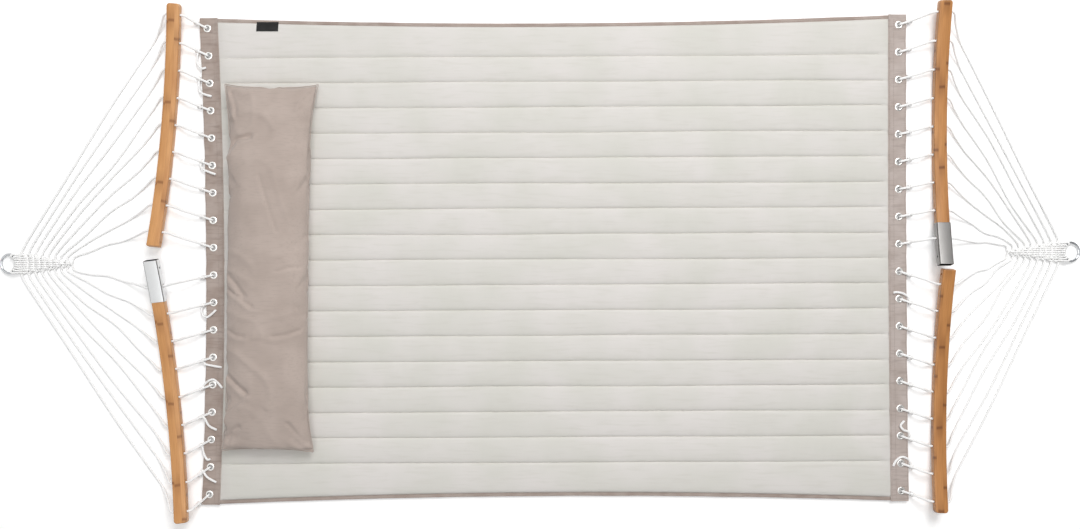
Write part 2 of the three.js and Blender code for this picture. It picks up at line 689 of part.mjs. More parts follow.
// The places that a cord runs through, from the clew to the bend round its eyelet and the knot
function cordRoute(side, n, halves, bed) {
  const isUpper = n < CORDS / 2;
  const fromOutside = isUpper ? n : CORDS - 1 - n;
  const isFree = isUpper === side.freeIsUpper;
  const half = isFree ? halves.free : halves.fixed;
  const holes = isFree ? freeHoles() : fixedHoles();
  const length = isFree ? FREE_LENGTH : FIXED_LENGTH;
  const inSleeve = !isFree && fromOutside === holes.length - 1;
  const local = barPoint(holes[holes.length - 1 - fromOutside], length, 0, 0);
  const hole = half.localToWorld(local.clone().setZ(local.z - HOLE_DROP));
  const across = vector(1, 0, 0).transformDirection(half.matrixWorld);
  const toBed = across.multiplyScalar(-side.out * Math.sign(across.x));
  const cover = (inSleeve ? SLEEVE_WIDTH : BAR_WIDTH) / 2 + CORD_LEAD;
  const outward = isUpper ? 1 : -1;

  const slope = Math.atan2(CLEW_RING_WIDTH - CLEW_TIP_WIDTH, 2 * CLEW_STATIONS * STATION_PITCH);
  const leave = vector(-side.out * Math.sin(slope), outward * Math.cos(slope), 0);
  const start = clewPlace(side, fromOutside + 1 / 2, outward).addScaledVector(leave, GAP);
  start.z = CLEW_HEIGHT / 2;
  const lead = start.clone().addScaledVector(leave, CORD_LEAD);

  const beforeBar = hole.clone().addScaledVector(toBed, -cover);
  const afterBar = hole.clone().addScaledVector(toBed, cover);
  const run = beforeBar.clone().sub(lead).setZ(0).normalize();
  const foot = beforeBar.clone().addScaledVector(run, -FAN_RISE).setZ(FLOOR_CORD_Z);
  const sideways = vector(-run.y, run.x, 0).multiplyScalar(-side.out);
  const fan = SWAY_PLACE_SHARES.map((share, m) => lead.clone().lerp(foot, share)
    .addScaledVector(sideways, side.sways[n][m]).setZ(FLOOR_CORD_Z));

  const eyelet = bed.localToWorld(eyeletPlace(side.out, side.bow, n));
  const inward = eyelet.clone().sub(afterBar).setZ(0).normalize();
  const bendRadius = (TOP_RUN_Z - FLOOR_CORD_Z) / 2;
  const bendCentre = eyelet.clone().addScaledVector(inward, -BEND_INSET).setZ(FLOOR_CORD_Z + bendRadius);
  const bend = Array.from({ length: BEND_STEPS + 1 }, (_, m) => {
    const angle = Math.PI / 2 - (Math.PI * m) / BEND_STEPS;
    return bendCentre.clone()
      .addScaledVector(inward, bendRadius * Math.cos(angle))
      .add(vector(0, 0, bendRadius * Math.sin(angle)));
  });
  const slant = Math.abs(inward.x);
  const toEdge = EYELET_INSET / slant - BEND_INSET;
  const overEdge = bendCentre.clone().addScaledVector(inward, -toEdge - CORD_LEAD).setZ(TOP_RUN_Z + GAP);
  const toKnot = toEdge + (KNOT_LENGTH / 2 + KNOT_CLEARANCE) / slant;
  const knot = bendCentre.clone().addScaledVector(inward, -toKnot);
  const hump = afterBar.clone().lerp(overEdge, 1 / 2);
  hump.z += side.humps[n];
  const underEdge = knot.clone().setZ(FLOOR_CORD_Z);
  const points = [start, lead, ...fan, foot, beforeBar, afterBar, hump, overEdge, ...bend, underEdge];
  return { points, knot, inward };
}

function knotBall({ knot, inward }) {
  const height = TOP_RUN_Z + CORD_DIAMETER / 2;
  const ball = new THREE.SphereGeometry(1 / 2, KNOT_SIDES, KNOT_BANDS);
  ball.scale(KNOT_LENGTH, KNOT_WIDTH, height);
  ball.rotateZ(Math.atan2(inward.y, inward.x));
  return ball.translate(knot.x, knot.y, height / 2 + GAP);
}

function cord(side, n, halves, bed) {
  const route = cordRoute(side, n, halves, bed);
  let solid = solidOf(tube(route.points)).add(solidOf(knotBall(route)));
  const tail = side.tails.find(([which]) => which === n);
  if (tail) {
    const { knot } = route;
    const rises = tail[1].map(([towardsBed, along, up]) => (
      vector(knot.x - side.out * towardsBed, knot.y + along, up)));
    solid = solid.add(solidOf(tube([knot.clone(), ...rises])));
  }
  return geometryOf(solid);
}

// Assembly
const hammock = new THREE.Group();

const bedGroup = new THREE.Group();
bedGroup.position.set(BED_X, BED_Y, 0);
bedGroup.rotation.z = radians(BED_YAW);
bedGroup.updateMatrixWorld();
bedGroup.add(named('quilt_bed', quilt(), quiltCloth));
bedGroup.add(named('upper_binding', binding(1), hemCloth));
bedGroup.add(named('lower_binding', binding(-1), hemCloth));
bedGroup.add(named('edge_label', label(), labelCloth));
const pillowGroup = new THREE.Group();
pillowGroup.position.set(PILLOW_X, PILLOW_Y, 0);
pillowGroup.rotation.z = radians(PILLOW_YAW);
pillowGroup.add(named('pillow', pillow(), pillowCloth));
bedGroup.add(pillowGroup);
hammock.add(bedGroup);

for (const side of SIDES) {
  bedGroup.add(named(`${side.name}_hem`, hem(side), hemCloth));
  const bamboo = side.name === 'left' ? lightBamboo : darkBamboo;
  const halves = { free: barGroup(side, true), fixed: barGroup(side, false) };
  const freeBar = bar(0, FREE_LENGTH, freeHoles(), [], [LOCK_HOLE_FROM_PLUG_END]);
  const fixedBar = bar(SOCKET_DEPTH, FIXED_LENGTH, fixedHoles(), SLEEVE_STATIONS.slice(2), []);
  halves.free.add(named(`${side.name}_free_bar`, freeBar, bamboo));
  halves.fixed.add(named(`${side.name}_fixed_bar`, fixedBar, bamboo));
  halves.fixed.add(named(`${side.name}_sleeve`, sleeve(), brushedSteel));
  const ring = ringGroup(side);
  ring.add(named(
    `${side.name}_ring`,
    new THREE.TorusGeometry(RING_RADIUS, RING_WIRE / 2, RING_SIDES, RING_SEGMENTS),
    ringSteel,
  ));
  ring.add(named(`${side.name}_ring_loops`, ringLoops(side), cordCotton));
  hammock.add(halves.free, halves.fixed, ring);
  hammock.add(named(`${side.name}_clew`, clew(side), cordCotton));
  for (let n = 0; n < CORDS; n += 1) {
    const number = String(n + 1).padStart(2, '0');
    hammock.add(named(`${side.name}_cord_${number}`, cord(side, n, halves, bedGroup), cordCotton));
  }
}

// The origin is on the floor, under the middle of the whole
const middle = new THREE.Box3().setFromObject(hammock, true).getCenter(vector(0, 0, 0));
hammock.position.set(-middle.x, -middle.y, 0);

export default hammock;
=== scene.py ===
"""Double hammock laid out flat on a pale floor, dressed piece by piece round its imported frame.

The quilted bed lies between two eyelet hems. A bolster lies on it, and at each end there is a
bamboo spreader bar in two halves, eighteen laced cords, a woven clew and a steel ring. Lengths
are metres, angles are degrees unless a name says radians, X runs along the hammock and Z up.
"""

import json
import logging
from dataclasses import dataclass, field
from enum import Enum
from math import asin, atan2, ceil, copysign, cos, exp, floor, hypot, pi, radians, sin, sqrt
from typing import Callable, Sequence

import bmesh
import bpy
from bmesh.types import BMesh, BMVert
from bpy.types import Material, Node, NodeSocket, NodeTree, Object
from mathutils import Matrix, Vector, noise

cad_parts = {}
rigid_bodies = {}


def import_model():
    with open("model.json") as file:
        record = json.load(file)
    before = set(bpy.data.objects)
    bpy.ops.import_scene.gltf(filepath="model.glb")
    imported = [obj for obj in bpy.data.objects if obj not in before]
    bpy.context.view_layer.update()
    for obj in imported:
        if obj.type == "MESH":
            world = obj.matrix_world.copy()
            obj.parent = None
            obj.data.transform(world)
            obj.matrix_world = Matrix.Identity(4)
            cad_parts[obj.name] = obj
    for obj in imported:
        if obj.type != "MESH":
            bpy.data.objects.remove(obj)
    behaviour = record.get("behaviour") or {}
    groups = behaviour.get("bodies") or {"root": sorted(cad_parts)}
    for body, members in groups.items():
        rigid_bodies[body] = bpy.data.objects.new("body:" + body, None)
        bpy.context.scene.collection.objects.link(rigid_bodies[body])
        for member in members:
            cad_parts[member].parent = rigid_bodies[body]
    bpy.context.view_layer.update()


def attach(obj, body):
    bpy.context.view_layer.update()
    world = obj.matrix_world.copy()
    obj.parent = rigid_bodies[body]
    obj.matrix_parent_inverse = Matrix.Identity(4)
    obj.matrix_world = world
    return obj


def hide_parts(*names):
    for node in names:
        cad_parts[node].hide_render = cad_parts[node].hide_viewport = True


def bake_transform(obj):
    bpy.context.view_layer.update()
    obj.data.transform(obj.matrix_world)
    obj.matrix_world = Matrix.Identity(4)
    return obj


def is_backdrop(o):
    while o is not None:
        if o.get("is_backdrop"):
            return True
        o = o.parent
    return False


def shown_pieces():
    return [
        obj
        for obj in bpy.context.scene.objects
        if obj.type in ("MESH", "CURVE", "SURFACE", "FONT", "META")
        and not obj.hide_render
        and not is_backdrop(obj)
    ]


LOG = logging.getLogger("hammock")
MM = 0.001
WELD = 1e-6  # points closer than this are one
# Places are measured from the middle of the view, and the frame from the middle of the hammock
ORIGIN_SHIFT = Vector((0.0, -0.0076227, 0.0))

BUMP = "ShaderNodeBump"
COORDS = "ShaderNodeTexCoord"
MAPPING = "ShaderNodeMapping"
MATH = "ShaderNodeMath"
NOISE = "ShaderNodeTexNoise"
SPLIT = "ShaderNodeSeparateXYZ"
# Inputs 2 and 3 of Mix are its two values, 6 and 7 its two colours
MIX = "ShaderNodeMix"
# Inputs 1 and 2 of Map Range are the span that it reads, 3 and 4 the span that it gives
RANGE = "ShaderNodeMapRange"

# Gives the point of a skin for a row and a column
Place = Callable[[int, int], Vector]


class End(Enum):
    """The two ends of the hammock, and the way out along X."""

    LEFT = -1
    RIGHT = 1

    @property
    def word(self) -> str:
        """The end's name in piece names."""
        return self.name.lower()


class Half(Enum):
    """A spreader bar's two halves."""

    FREE = "free"
    FIXED = "fixed"


class Edge(Enum):
    """The two long edges of the bed, and the way out along Y."""

    UPPER = 1
    LOWER = -1


class Lines(Enum):
    """Which way the fine lines on steel run, as the scale of their pattern on X, Y and Z."""

    ALONG_X = (0.02, 1.0, 1.0)
    ALONG_Y = (1.0, 0.02, 1.0)


# Shaping


def share_of(value: float, whole: float = 1.0) -> float:
    """A value's share of a whole, held between 0 and 1."""
    return min(1.0, max(0.0, value / whole))


def lofted(
    rows: int, columns: int, place: Place, closed: bool = True, capped: bool = True
) -> BMesh:
    """Shape a fresh grid into a skin over rows of points.

    Args:
        rows: How many rows of points the skin has along its length.
        columns: How many points lie round one row, or across it.
        place: Gives the point for a row and a column.
        closed: Whether each row closes on itself, as round a tube.
        capped: Whether the open ends of a closed skin are filled.

    Returns:
        The shaped mesh, with a UV map of (share across, share along).
    """
    across = columns if closed else columns - 1
    bm = bmesh.new()
    uv_layer = bm.loops.layers.uv.new("UVMap")
    bmesh.ops.create_grid(bm, x_segments=across, y_segments=rows - 1, size=1.0)
    shares = {v: ((v.co.x + 1) / 2, (v.co.y + 1) / 2) for v in bm.verts}
    for face in bm.faces:
        for loop in face.loops:
            loop[uv_layer].uv = shares[loop.vert]
    for vert, (u, v) in shares.items():
        column = round(u * across)
        vert.co = place(round(v * (rows - 1)), column % columns if closed else column)
    if closed:
        bmesh.ops.remove_doubles(bm, verts=bm.verts, dist=0.1 * WELD)
        if capped:
            rim = [edge for edge in bm.edges if edge.is_boundary]
            bmesh.ops.holes_fill(bm, edges=rim, sides=columns)
        bmesh.ops.recalc_face_normals(bm, faces=bm.faces)
    return bm


def scale_uv(bm: BMesh, across: float, along: float) -> None:
    """Turn UV shares into lengths.

    Args:
        bm: The mesh.
        across: The length that U covers.
        along: The length that V covers.
    """
    uv_layer = bm.loops.layers.uv.verify()
    for face in bm.faces:
        for loop in face.loops:
            uv = loop[uv_layer].uv
            loop[uv_layer].uv = (uv[0] * across, uv[1] * along)


def thicken(bm: BMesh, thickness: float) -> None:
    """Give a flat-lying skin a thickness, downwards from where it is.

    Args:
        bm: The skin.
        thickness: Its thickness from then on.
    """
    bmesh.ops.recalc_face_normals(bm, faces=bm.faces)
    if sum(face.normal.z for face in bm.faces) < 0:
        bmesh.ops.reverse_faces(bm, faces=bm.faces)
    bmesh.ops.solidify(bm, geom=list(bm.faces), thickness=thickness)
    bmesh.ops.recalc_face_normals(bm, faces=bm.faces)


def make_piece(
    name: str,
    bm: BMesh,
    material: Material,
    matrix: Matrix | None = None,
    smooth_below: float = 40.0,
) -> Object:
    """Turn a finished mesh into an object that sits at the origin.

    Args:
        name: The piece's name.
        bm: The mesh, which is used up.
        material: The finish.
        matrix: Where the piece lies, if its mesh isn't in place yet.
        smooth_below: Edges sharper than this angle stay sharp.

    Returns:
        The new object.
    """
    if matrix is not None:
        bmesh.ops.transform(bm, matrix=matrix, verts=bm.verts)
    mesh = bpy.data.meshes.new(name)
    bm.to_mesh(mesh)
    bm.free()
    mesh.polygons.foreach_set("use_smooth", [True] * len(mesh.polygons))
    mesh.set_sharp_from_angle(angle=radians(smooth_below))
    piece = bpy.data.objects.new(name, mesh)
    bpy.context.scene.collection.objects.link(piece)
    piece.data.materials.append(material)
    return piece


def spun(bm: BMesh, steps: int) -> None:
    """Turn a closed profile all the way round the Z axis.

    Args:
        bm: The mesh with the profile.
        steps: How many steps the turn has.
    """
    bmesh.ops.spin(
        bm, geom=list(bm.verts) + list(bm.edges), axis=(0, 0, 1), cent=(0, 0, 0), dvec=(0, 0, 0),
        angle=2 * pi, steps=steps, use_merge=True, use_duplicate=False,
    )
    bmesh.ops.remove_doubles(bm, verts=bm.verts, dist=WELD)
    bmesh.ops.recalc_face_normals(bm, faces=bm.faces)


def applied(piece: Object) -> None:
    """Bake a piece's modifiers into its mesh.

    Args:
        piece: The piece.
    """
    graph = bpy.context.evaluated_depsgraph_get()
    baked = bpy.data.meshes.new_from_object(piece.evaluated_get(graph))
    old = piece.data
    piece.modifiers.clear()
    piece.data = baked
    bpy.data.meshes.remove(old)


def cut_out(piece: Object, cutters: BMesh) -> None:
    """Cut a mesh of closed cutters out of a piece, and bake the result.

    Args:
        piece: The piece.
        cutters: The cutters, which are used up.
    """
    mesh = bpy.data.meshes.new("cutters")
    cutters.to_mesh(mesh)
    cutters.free()
    tool = bpy.data.objects.new("cutters", mesh)
    bpy.context.scene.collection.objects.link(tool)
    cut = piece.modifiers.new("holes", "BOOLEAN")
    cut.operation = "DIFFERENCE"
    cut.solver = "EXACT"
    cut.object = tool
    applied(piece)
    bpy.data.objects.remove(tool)
    bpy.data.meshes.remove(mesh)


def smooth_path(points: Sequence[Vector], step: float, floor_z: float = 0.0) -> list[Vector]:
    """Run one smooth curve through points, on a centripetal spline.

    Args:
        points: The places that the curve passes.
        step: About how far apart the curve's own points are.
        floor_z: The lowest that the curve may lie.

    Returns:
        The curve's points, the first and last of them as given.
    """
    whole = [2 * points[0] - points[1], *points, 2 * points[-1] - points[-2]]
    path: list[Vector] = []
    for a, b, c, d in zip(whole, whole[1:], whole[2:], whole[3:]):
        knots = [0.0]
        for p, q in ((a, b), (b, c), (c, d)):
            knots.append(knots[-1] + max((q - p).length, WELD) ** 0.5)
        count = max(2, ceil((c - b).length / step))
        for n in range(count):
            path.append(_spline_point((a, b, c, d), knots, n / count))
    path.append(points[-1].copy())
    for point in path:
        point.z = max(point.z, floor_z)
    return path


def _spline_point(points: Sequence[Vector], knots: Sequence[float], share: float) -> Vector:
    """Find a point of a spline's span, by blending pairs of points until one is left.

    Args:
        points: The span's two ends, between the point before and the point after.
        knots: How far along the spline each of the four lies.
        share: The share of the way along the span.

    Returns:
        The point.
    """
    here = knots[1] + (knots[2] - knots[1]) * share
    level = list(points)
    for spans in (((0, 1), (1, 2), (2, 3)), ((0, 2), (1, 3)), ((1, 2),)):
        level = [
            a.lerp(b, (here - knots[low]) / (knots[high] - knots[low]))
            for a, b, (low, high) in zip(level, level[1:], spans)
        ]
    return level[0]


def frames_along(path: Sequence[Vector]) -> list[tuple[Vector, Vector]]:
    """Find the two directions across a path, which don't spin along it.

    Args:
        path: The path's points.

    Returns:
        The two directions at each point.
    """
    tangents = []
    for n, point in enumerate(path):
        before = path[max(n - 1, 0)]
        after = path[min(n + 1, len(path) - 1)]
        tangents.append((after - before).normalized())
    side = tangents[0].orthogonal().normalized()
    frames = []
    for tangent in tangents:
        side = (side - tangent * side.dot(tangent)).normalized()
        frames.append((side, tangent.cross(side)))
    return frames


def length_of(path: Sequence[Vector]) -> float:
    """How long a path is."""
    return sum((b - a).length for a, b in zip(path, path[1:]))


# Finishes


def srgb(colour: str) -> tuple[float, float, float, float]:
    """Turn an sRGB colour into a linear one.

    Args:
        colour: Its hex value, after a number sign.

    Returns:
        Red, green, blue and full alpha.
    """
    parts = [int(colour[i : i + 2], 16) / 255 for i in (1, 3, 5)]
    linear = [c / 12.92 if c <= 0.04045 else ((c + 0.055) / 1.055) ** 2.4 for c in parts]
    return (*linear, 1.0)


def add_node(
    tree: NodeTree, kind: str, inputs: dict | None = None, **settings: object
) -> Node:
    """Add one shader node, with its settings and its links.

    Args:
        tree: The material's node tree.
        kind: The node's type name.
        inputs: Socket names or numbers, each with a value, the output that feeds it, or a node
            whose first output does.
        settings: The node's own properties.

    Returns:
        The new node.
    """
    node = tree.nodes.new(kind)
    for name, value in settings.items():
        setattr(node, name, value)
    for key, value in (inputs or {}).items():
        if isinstance(value, Node):
            value = value.outputs[0]
        if isinstance(value, NodeSocket):
            tree.links.new(value, node.inputs[key])
        else:
            node.inputs[key].default_value = value
    return node


def start_material(name: str, constants: dict[str, object]) -> tuple[Material, NodeTree, Node]:
    """Start a material.

    Args:
        name: Its name.
        constants: What is the same all over it, set on the shader's own sockets.

    Returns:
        The material, its node tree and its Principled shader.
    """
    material = bpy.data.materials.new(name)
    material.use_nodes = True
    shader = material.node_tree.nodes["Principled BSDF"]
    for socket, value in constants.items():
        shader.inputs[socket].default_value = value
    return material, material.node_tree, shader


@dataclass(frozen=True)
class WovenCloth:
    """Plain-woven cloth: matt, with fine threads, thick places in the yarn and soft mottling."""

    name: str
    colour: str
    light: str
    dark: str
    thread: float
    slub: float
    mottle: float
    roughness: float = 0.95
    sheen: float = 0.15
    relief: float = 0.3 * MM
    wave: float = 0.314  # how far apart the bands of an unscaled wave texture lie
    yarn_stretch: float = 0.12

    def material(self) -> Material:
        """Build the cloth's material on Object coordinates.

        Returns:
            The material.
        """
        material, tree, shader = start_material(
            self.name,
            {
                "Roughness": self.roughness, "Specular IOR Level": 0.25,
                "Sheen Weight": self.sheen, "Sheen Roughness": 0.6,
            },
        )
        place = add_node(tree, COORDS).outputs["Object"]
        scale = self.wave / (2 * self.thread)
        warp, weft = (
            add_node(tree, "ShaderNodeTexWave", {"Vector": place, "Scale": scale}, bands_direction=way)
            for way in ("X", "Y")
        )
        threads = {"Factor": 0.5, 2: warp.outputs["Fac"], 3: weft.outputs["Fac"]}
        weave = add_node(tree, MIX, threads, data_type="FLOAT")
        yarn_size = (self.yarn_stretch, 1.0, 1.0)
        stretched = add_node(tree, MAPPING, {"Vector": place, "Scale": yarn_size})
        slubs = add_node(tree, NOISE, {"Vector": stretched, "Scale": 1 / self.slub, "Detail": 3.0})
        mottle = add_node(
            tree, NOISE, {"Vector": place, "Scale": 1 / self.mottle, "Detail": 2.0, "Roughness": 0.55}
        )
        mottle_share = add_node(tree, RANGE, {0: mottle, 1: 0.36, 2: 0.64, 3: 0.0, 4: 1.0})
        slub_share = add_node(tree, RANGE, {0: slubs, 1: 0.5, 2: 0.78, 3: 0.0, 4: 0.55})
        tone = srgb(self.colour)
        for share, colour in ((mottle_share, self.light), (slub_share, self.dark)):
            layer = {"Factor": share, 6: tone, 7: srgb(colour)}
            tone = add_node(tree, MIX, layer, data_type="RGBA").outputs[2]
        tree.links.new(tone, shader.inputs["Base Color"])
        height = add_node(tree, MIX, {"Factor": 0.4, 2: weave, 3: slubs}, data_type="FLOAT")
        bump = add_node(tree, BUMP, {"Height": height, "Strength": 0.6, "Distance": self.relief})
        tree.links.new(bump.outputs[0], shader.inputs["Normal"])
        return material


@dataclass(frozen=True)
class BraidedCotton:
    """Round braided cotton cord: matt bleached white, its strands crossing both ways round it, with painted
    shade in the hollows between them.
    """

    name: str = "bleached_braided_cotton_cord"
    colour: str = "#ffffff"
    # Painted shade: the colour of the braid's hollows, a little darker than the strands
    hollow: str = "#f4f2ee"
    pitch: float = 5 * MM  # half of one strand's crossing, drawn coarser than real so that it shows
    crossings: float = 8.0  # how many strands go past in one turn round the cord
    fibres_per_metre: float = 1400.0  # fewer than real, so that they show
    relief: float = 0.35 * MM

    def material(self) -> Material:
        """Build the cord's material on its UV map, whose V is a length in metres.

        Returns:
            The material.
        """
        material, tree, shader = start_material(
            self.name, {"Roughness": 0.9, "Specular IOR Level": 0.3}
        )
        uv = add_node(tree, "ShaderNodeUVMap", uv_map="UVMap")
        parts = add_node(tree, SPLIT, {0: uv})
        turns = add_node(tree, MATH, {0: parts.outputs[0], 1: self.crossings}, operation="MULTIPLY")
        along = add_node(tree, MATH, {0: parts.outputs[1], 1: self.pitch}, operation="DIVIDE")
        strands = []
        for way in ("ADD", "SUBTRACT"):
            winding = add_node(tree, MATH, {0: turns, 1: along}, operation=way)
            strands.append(add_node(tree, MATH, {0: winding, 1: 1.0}, operation="PINGPONG"))
        braid = add_node(tree, MATH, {0: strands[0], 1: strands[1]}, operation="MAXIMUM")
        place = add_node(tree, COORDS).outputs["Object"]
        fibres = add_node(
            tree, NOISE, {"Vector": place, "Scale": self.fibres_per_metre, "Detail": 2.0}
        )
        height = add_node(tree, MATH, {0: fibres, 1: 0.3, 2: braid}, operation="MULTIPLY_ADD")
        # Painted shade: the braid's hollows are tinted darker
        depth = add_node(tree, RANGE, {0: braid, 1: 0.2, 2: 0.6, 3: 1.0, 4: 0.0})
        layer = {"Factor": depth, 6: srgb(self.colour), 7: srgb(self.hollow)}
        tone = add_node(tree, MIX, layer, data_type="RGBA")
        tree.links.new(tone.outputs[2], shader.inputs["Base Color"])
        bump = add_node(tree, BUMP, {"Height": height, "Strength": 0.5, "Distance": self.relief})
        tree.links.new(bump.outputs[0], shader.inputs["Normal"])
        return material


@dataclass(frozen=True)
class LaminatedBamboo:
    """Clear-coated laminated bamboo: strips side by side, fine fibres and a dark node here and there."""

    name: str
    colour: str
    pale: str
    deep: str
    node_brown: str
    strip: float = 17 * MM
    node_gap: float = 230 * MM
    node_width: float = 10 * MM
    node_smear: float = 46 * MM  # how far the brown runs along the fibres from a node
    glue_line: float = 0.55 * MM
    fibre_width: float = 1.1 * MM  # drawn coarser than real fibres, so that they show
    fibre_length: float = 45 * MM
    cloud_width: float = 25 * MM
    cloud_length: float = 140 * MM

    def material(self) -> Material:
        """Build the bamboo on its UV map: U is metres round the section, V metres along the bar.

        Returns:
            The material.
        """
        material, tree, shader = start_material(
            self.name, {"Coat Weight": 0.25, "Coat Roughness": 0.3}
        )
        uv = add_node(tree, "ShaderNodeUVMap", uv_map="UVMap")
        parts = add_node(tree, SPLIT, {0: uv})
        across, along = parts.outputs[0], parts.outputs[1]
        strip_place = add_node(tree, MATH, {0: across, 1: self.strip}, operation="DIVIDE")
        strip_number = add_node(tree, MATH, {0: strip_place}, operation="FLOOR")
        chance = add_node(
            tree, "ShaderNodeTexWhiteNoise", {"W": strip_number}, noise_dimensions="1D"
        ).outputs["Value"]
        spot = add_node(tree, "ShaderNodeCombineXYZ", {0: across, 1: along, 2: chance})
        fibre_size = (1 / self.fibre_width, 1 / self.fibre_length, 1.0)
        fibre_place = add_node(tree, MAPPING, {"Vector": spot, "Scale": fibre_size})
        fibres = add_node(
            tree, NOISE, {"Vector": fibre_place, "Scale": 1.0, "Detail": 4.0, "Roughness": 0.6}
        )
        cloud_size = (1 / self.cloud_width, 1 / self.cloud_length, 1.0)
        cloud_place = add_node(tree, MAPPING, {"Vector": spot, "Scale": cloud_size})
        cloud = add_node(tree, NOISE, {"Vector": cloud_place, "Scale": 1.0, "Detail": 2.0})

        mark, smear = self._nodes(tree, along, chance, cloud)
        beside_glue = add_node(tree, MATH, {0: strip_place, 1: 0.5}, operation="PINGPONG")
        glue = add_node(
            tree, RANGE, {0: beside_glue, 1: 0.0, 2: self.glue_line / self.strip, 3: 0.3, 4: 0.0}
        )
        marked = add_node(tree, MATH, {0: mark, 1: smear}, operation="MAXIMUM")
        darkened = add_node(tree, MATH, {0: marked, 1: glue}, operation="MAXIMUM")
        fibre_share = add_node(tree, RANGE, {0: fibres, 1: 0.42, 2: 0.72, 3: 0.0, 4: 0.55})
        cloud_share = add_node(tree, RANGE, {0: cloud, 1: 0.4, 2: 0.72, 3: 0.0, 4: 0.62})
        tone = srgb(self.colour)
        layers = (
            (chance, self.pale), (fibre_share, self.deep), (cloud_share, self.deep),
            (darkened, self.node_brown),
        )
        for share, colour in layers:
            layer = {"Factor": share, 6: tone, 7: srgb(colour)}
            tone = add_node(tree, MIX, layer, data_type="RGBA").outputs[2]
        tree.links.new(tone, shader.inputs["Base Color"])

        ridged = add_node(tree, MATH, {0: mark, 1: 0.8, 2: fibres}, operation="MULTIPLY_ADD")
        relief = add_node(tree, MATH, {0: glue, 1: -3.0, 2: ridged}, operation="MULTIPLY_ADD")
        bump = add_node(tree, BUMP, {"Height": relief, "Strength": 0.35, "Distance": 0.2 * MM})
        tree.links.new(bump.outputs[0], shader.inputs["Normal"])
        shine = add_node(tree, RANGE, {0: fibres, 1: 0.2, 2: 0.8, 3: 0.36, 4: 0.52})
        tree.links.new(shine.outputs[0], shader.inputs["Roughness"])
        return material

    def _nodes(
        self,
        tree: NodeTree,
        along: NodeSocket,
        chance: NodeSocket,
        cloud: Node,
    ) -> tuple[Node, Node]:
        """Place the bamboo's nodes, which each strip has somewhere else.

        Args:
            tree: The material's node tree.
            along: The place along the bar, in metres.
            chance: The strip's own share from 0 to 1.
            cloud: A soft noise that pushes the nodes out of line.

        Returns:
            How dark the node itself is, and how dark the smear along the fibres beside it.
        """
        counted = add_node(tree, MATH, {0: along, 1: self.node_gap}, operation="DIVIDE")
        shifted = add_node(tree, MATH, {0: chance, 1: 7.0, 2: counted}, operation="MULTIPLY_ADD")
        wander = add_node(tree, MATH, {0: cloud, 1: 0.03, 2: shifted}, operation="MULTIPLY_ADD")
        from_node = add_node(tree, MATH, {0: wander, 1: 0.5}, operation="PINGPONG")
        mark, smear = (
            add_node(
                tree, RANGE, {0: from_node, 1: 0.0, 2: reach / self.node_gap, 3: dark, 4: 0.0},
                interpolation_type="SMOOTHSTEP",
            )
            for reach, dark in ((self.node_width, 0.9), (self.node_smear, 0.32))
        )
        return mark, smear


@dataclass(frozen=True)
class Steel:
    """Steel with fine lines from brushing or drawing, and a slightly uneven gloss."""

    name: str
    colour: str
    dull: str
    roughness: float
    lines: Lines = Lines.ALONG_Y
    line: float = 1.2 * MM  # drawn coarser than real brushing, so that it shows
    groove: float = 0.05 * MM
    patches_per_metre: float = 22.0  # places with more and less gloss

    def material(self) -> Material:
        """Build the steel on Object coordinates.

        Returns:
            The material.
        """
        material, tree, shader = start_material(self.name, {"Metallic": 1.0})
        place = add_node(tree, COORDS).outputs["Object"]
        drawn = add_node(tree, MAPPING, {"Vector": place, "Scale": self.lines.value})
        lines = add_node(
            tree, NOISE, {"Vector": drawn, "Scale": 1 / self.line, "Detail": 3.0, "Roughness": 0.7}
        )
        patches = add_node(
            tree, NOISE, {"Vector": place, "Scale": self.patches_per_metre, "Detail": 2.0}
        )
        layer = {"Factor": lines, 6: srgb(self.colour), 7: srgb(self.dull)}
        tone = add_node(tree, MIX, layer, data_type="RGBA")
        tree.links.new(tone.outputs[2], shader.inputs["Base Color"])
        smoothest, roughest = self.roughness - 0.06, self.roughness + 0.08
        gloss = add_node(tree, RANGE, {0: patches, 1: 0.3, 2: 0.7, 3: smoothest, 4: roughest})
        tree.links.new(gloss.outputs[0], shader.inputs["Roughness"])
        bump = add_node(tree, BUMP, {"Height": lines, "Strength": 0.25, "Distance": self.groove})
        tree.links.new(bump.outputs[0], shader.inputs["Normal"])
        return material


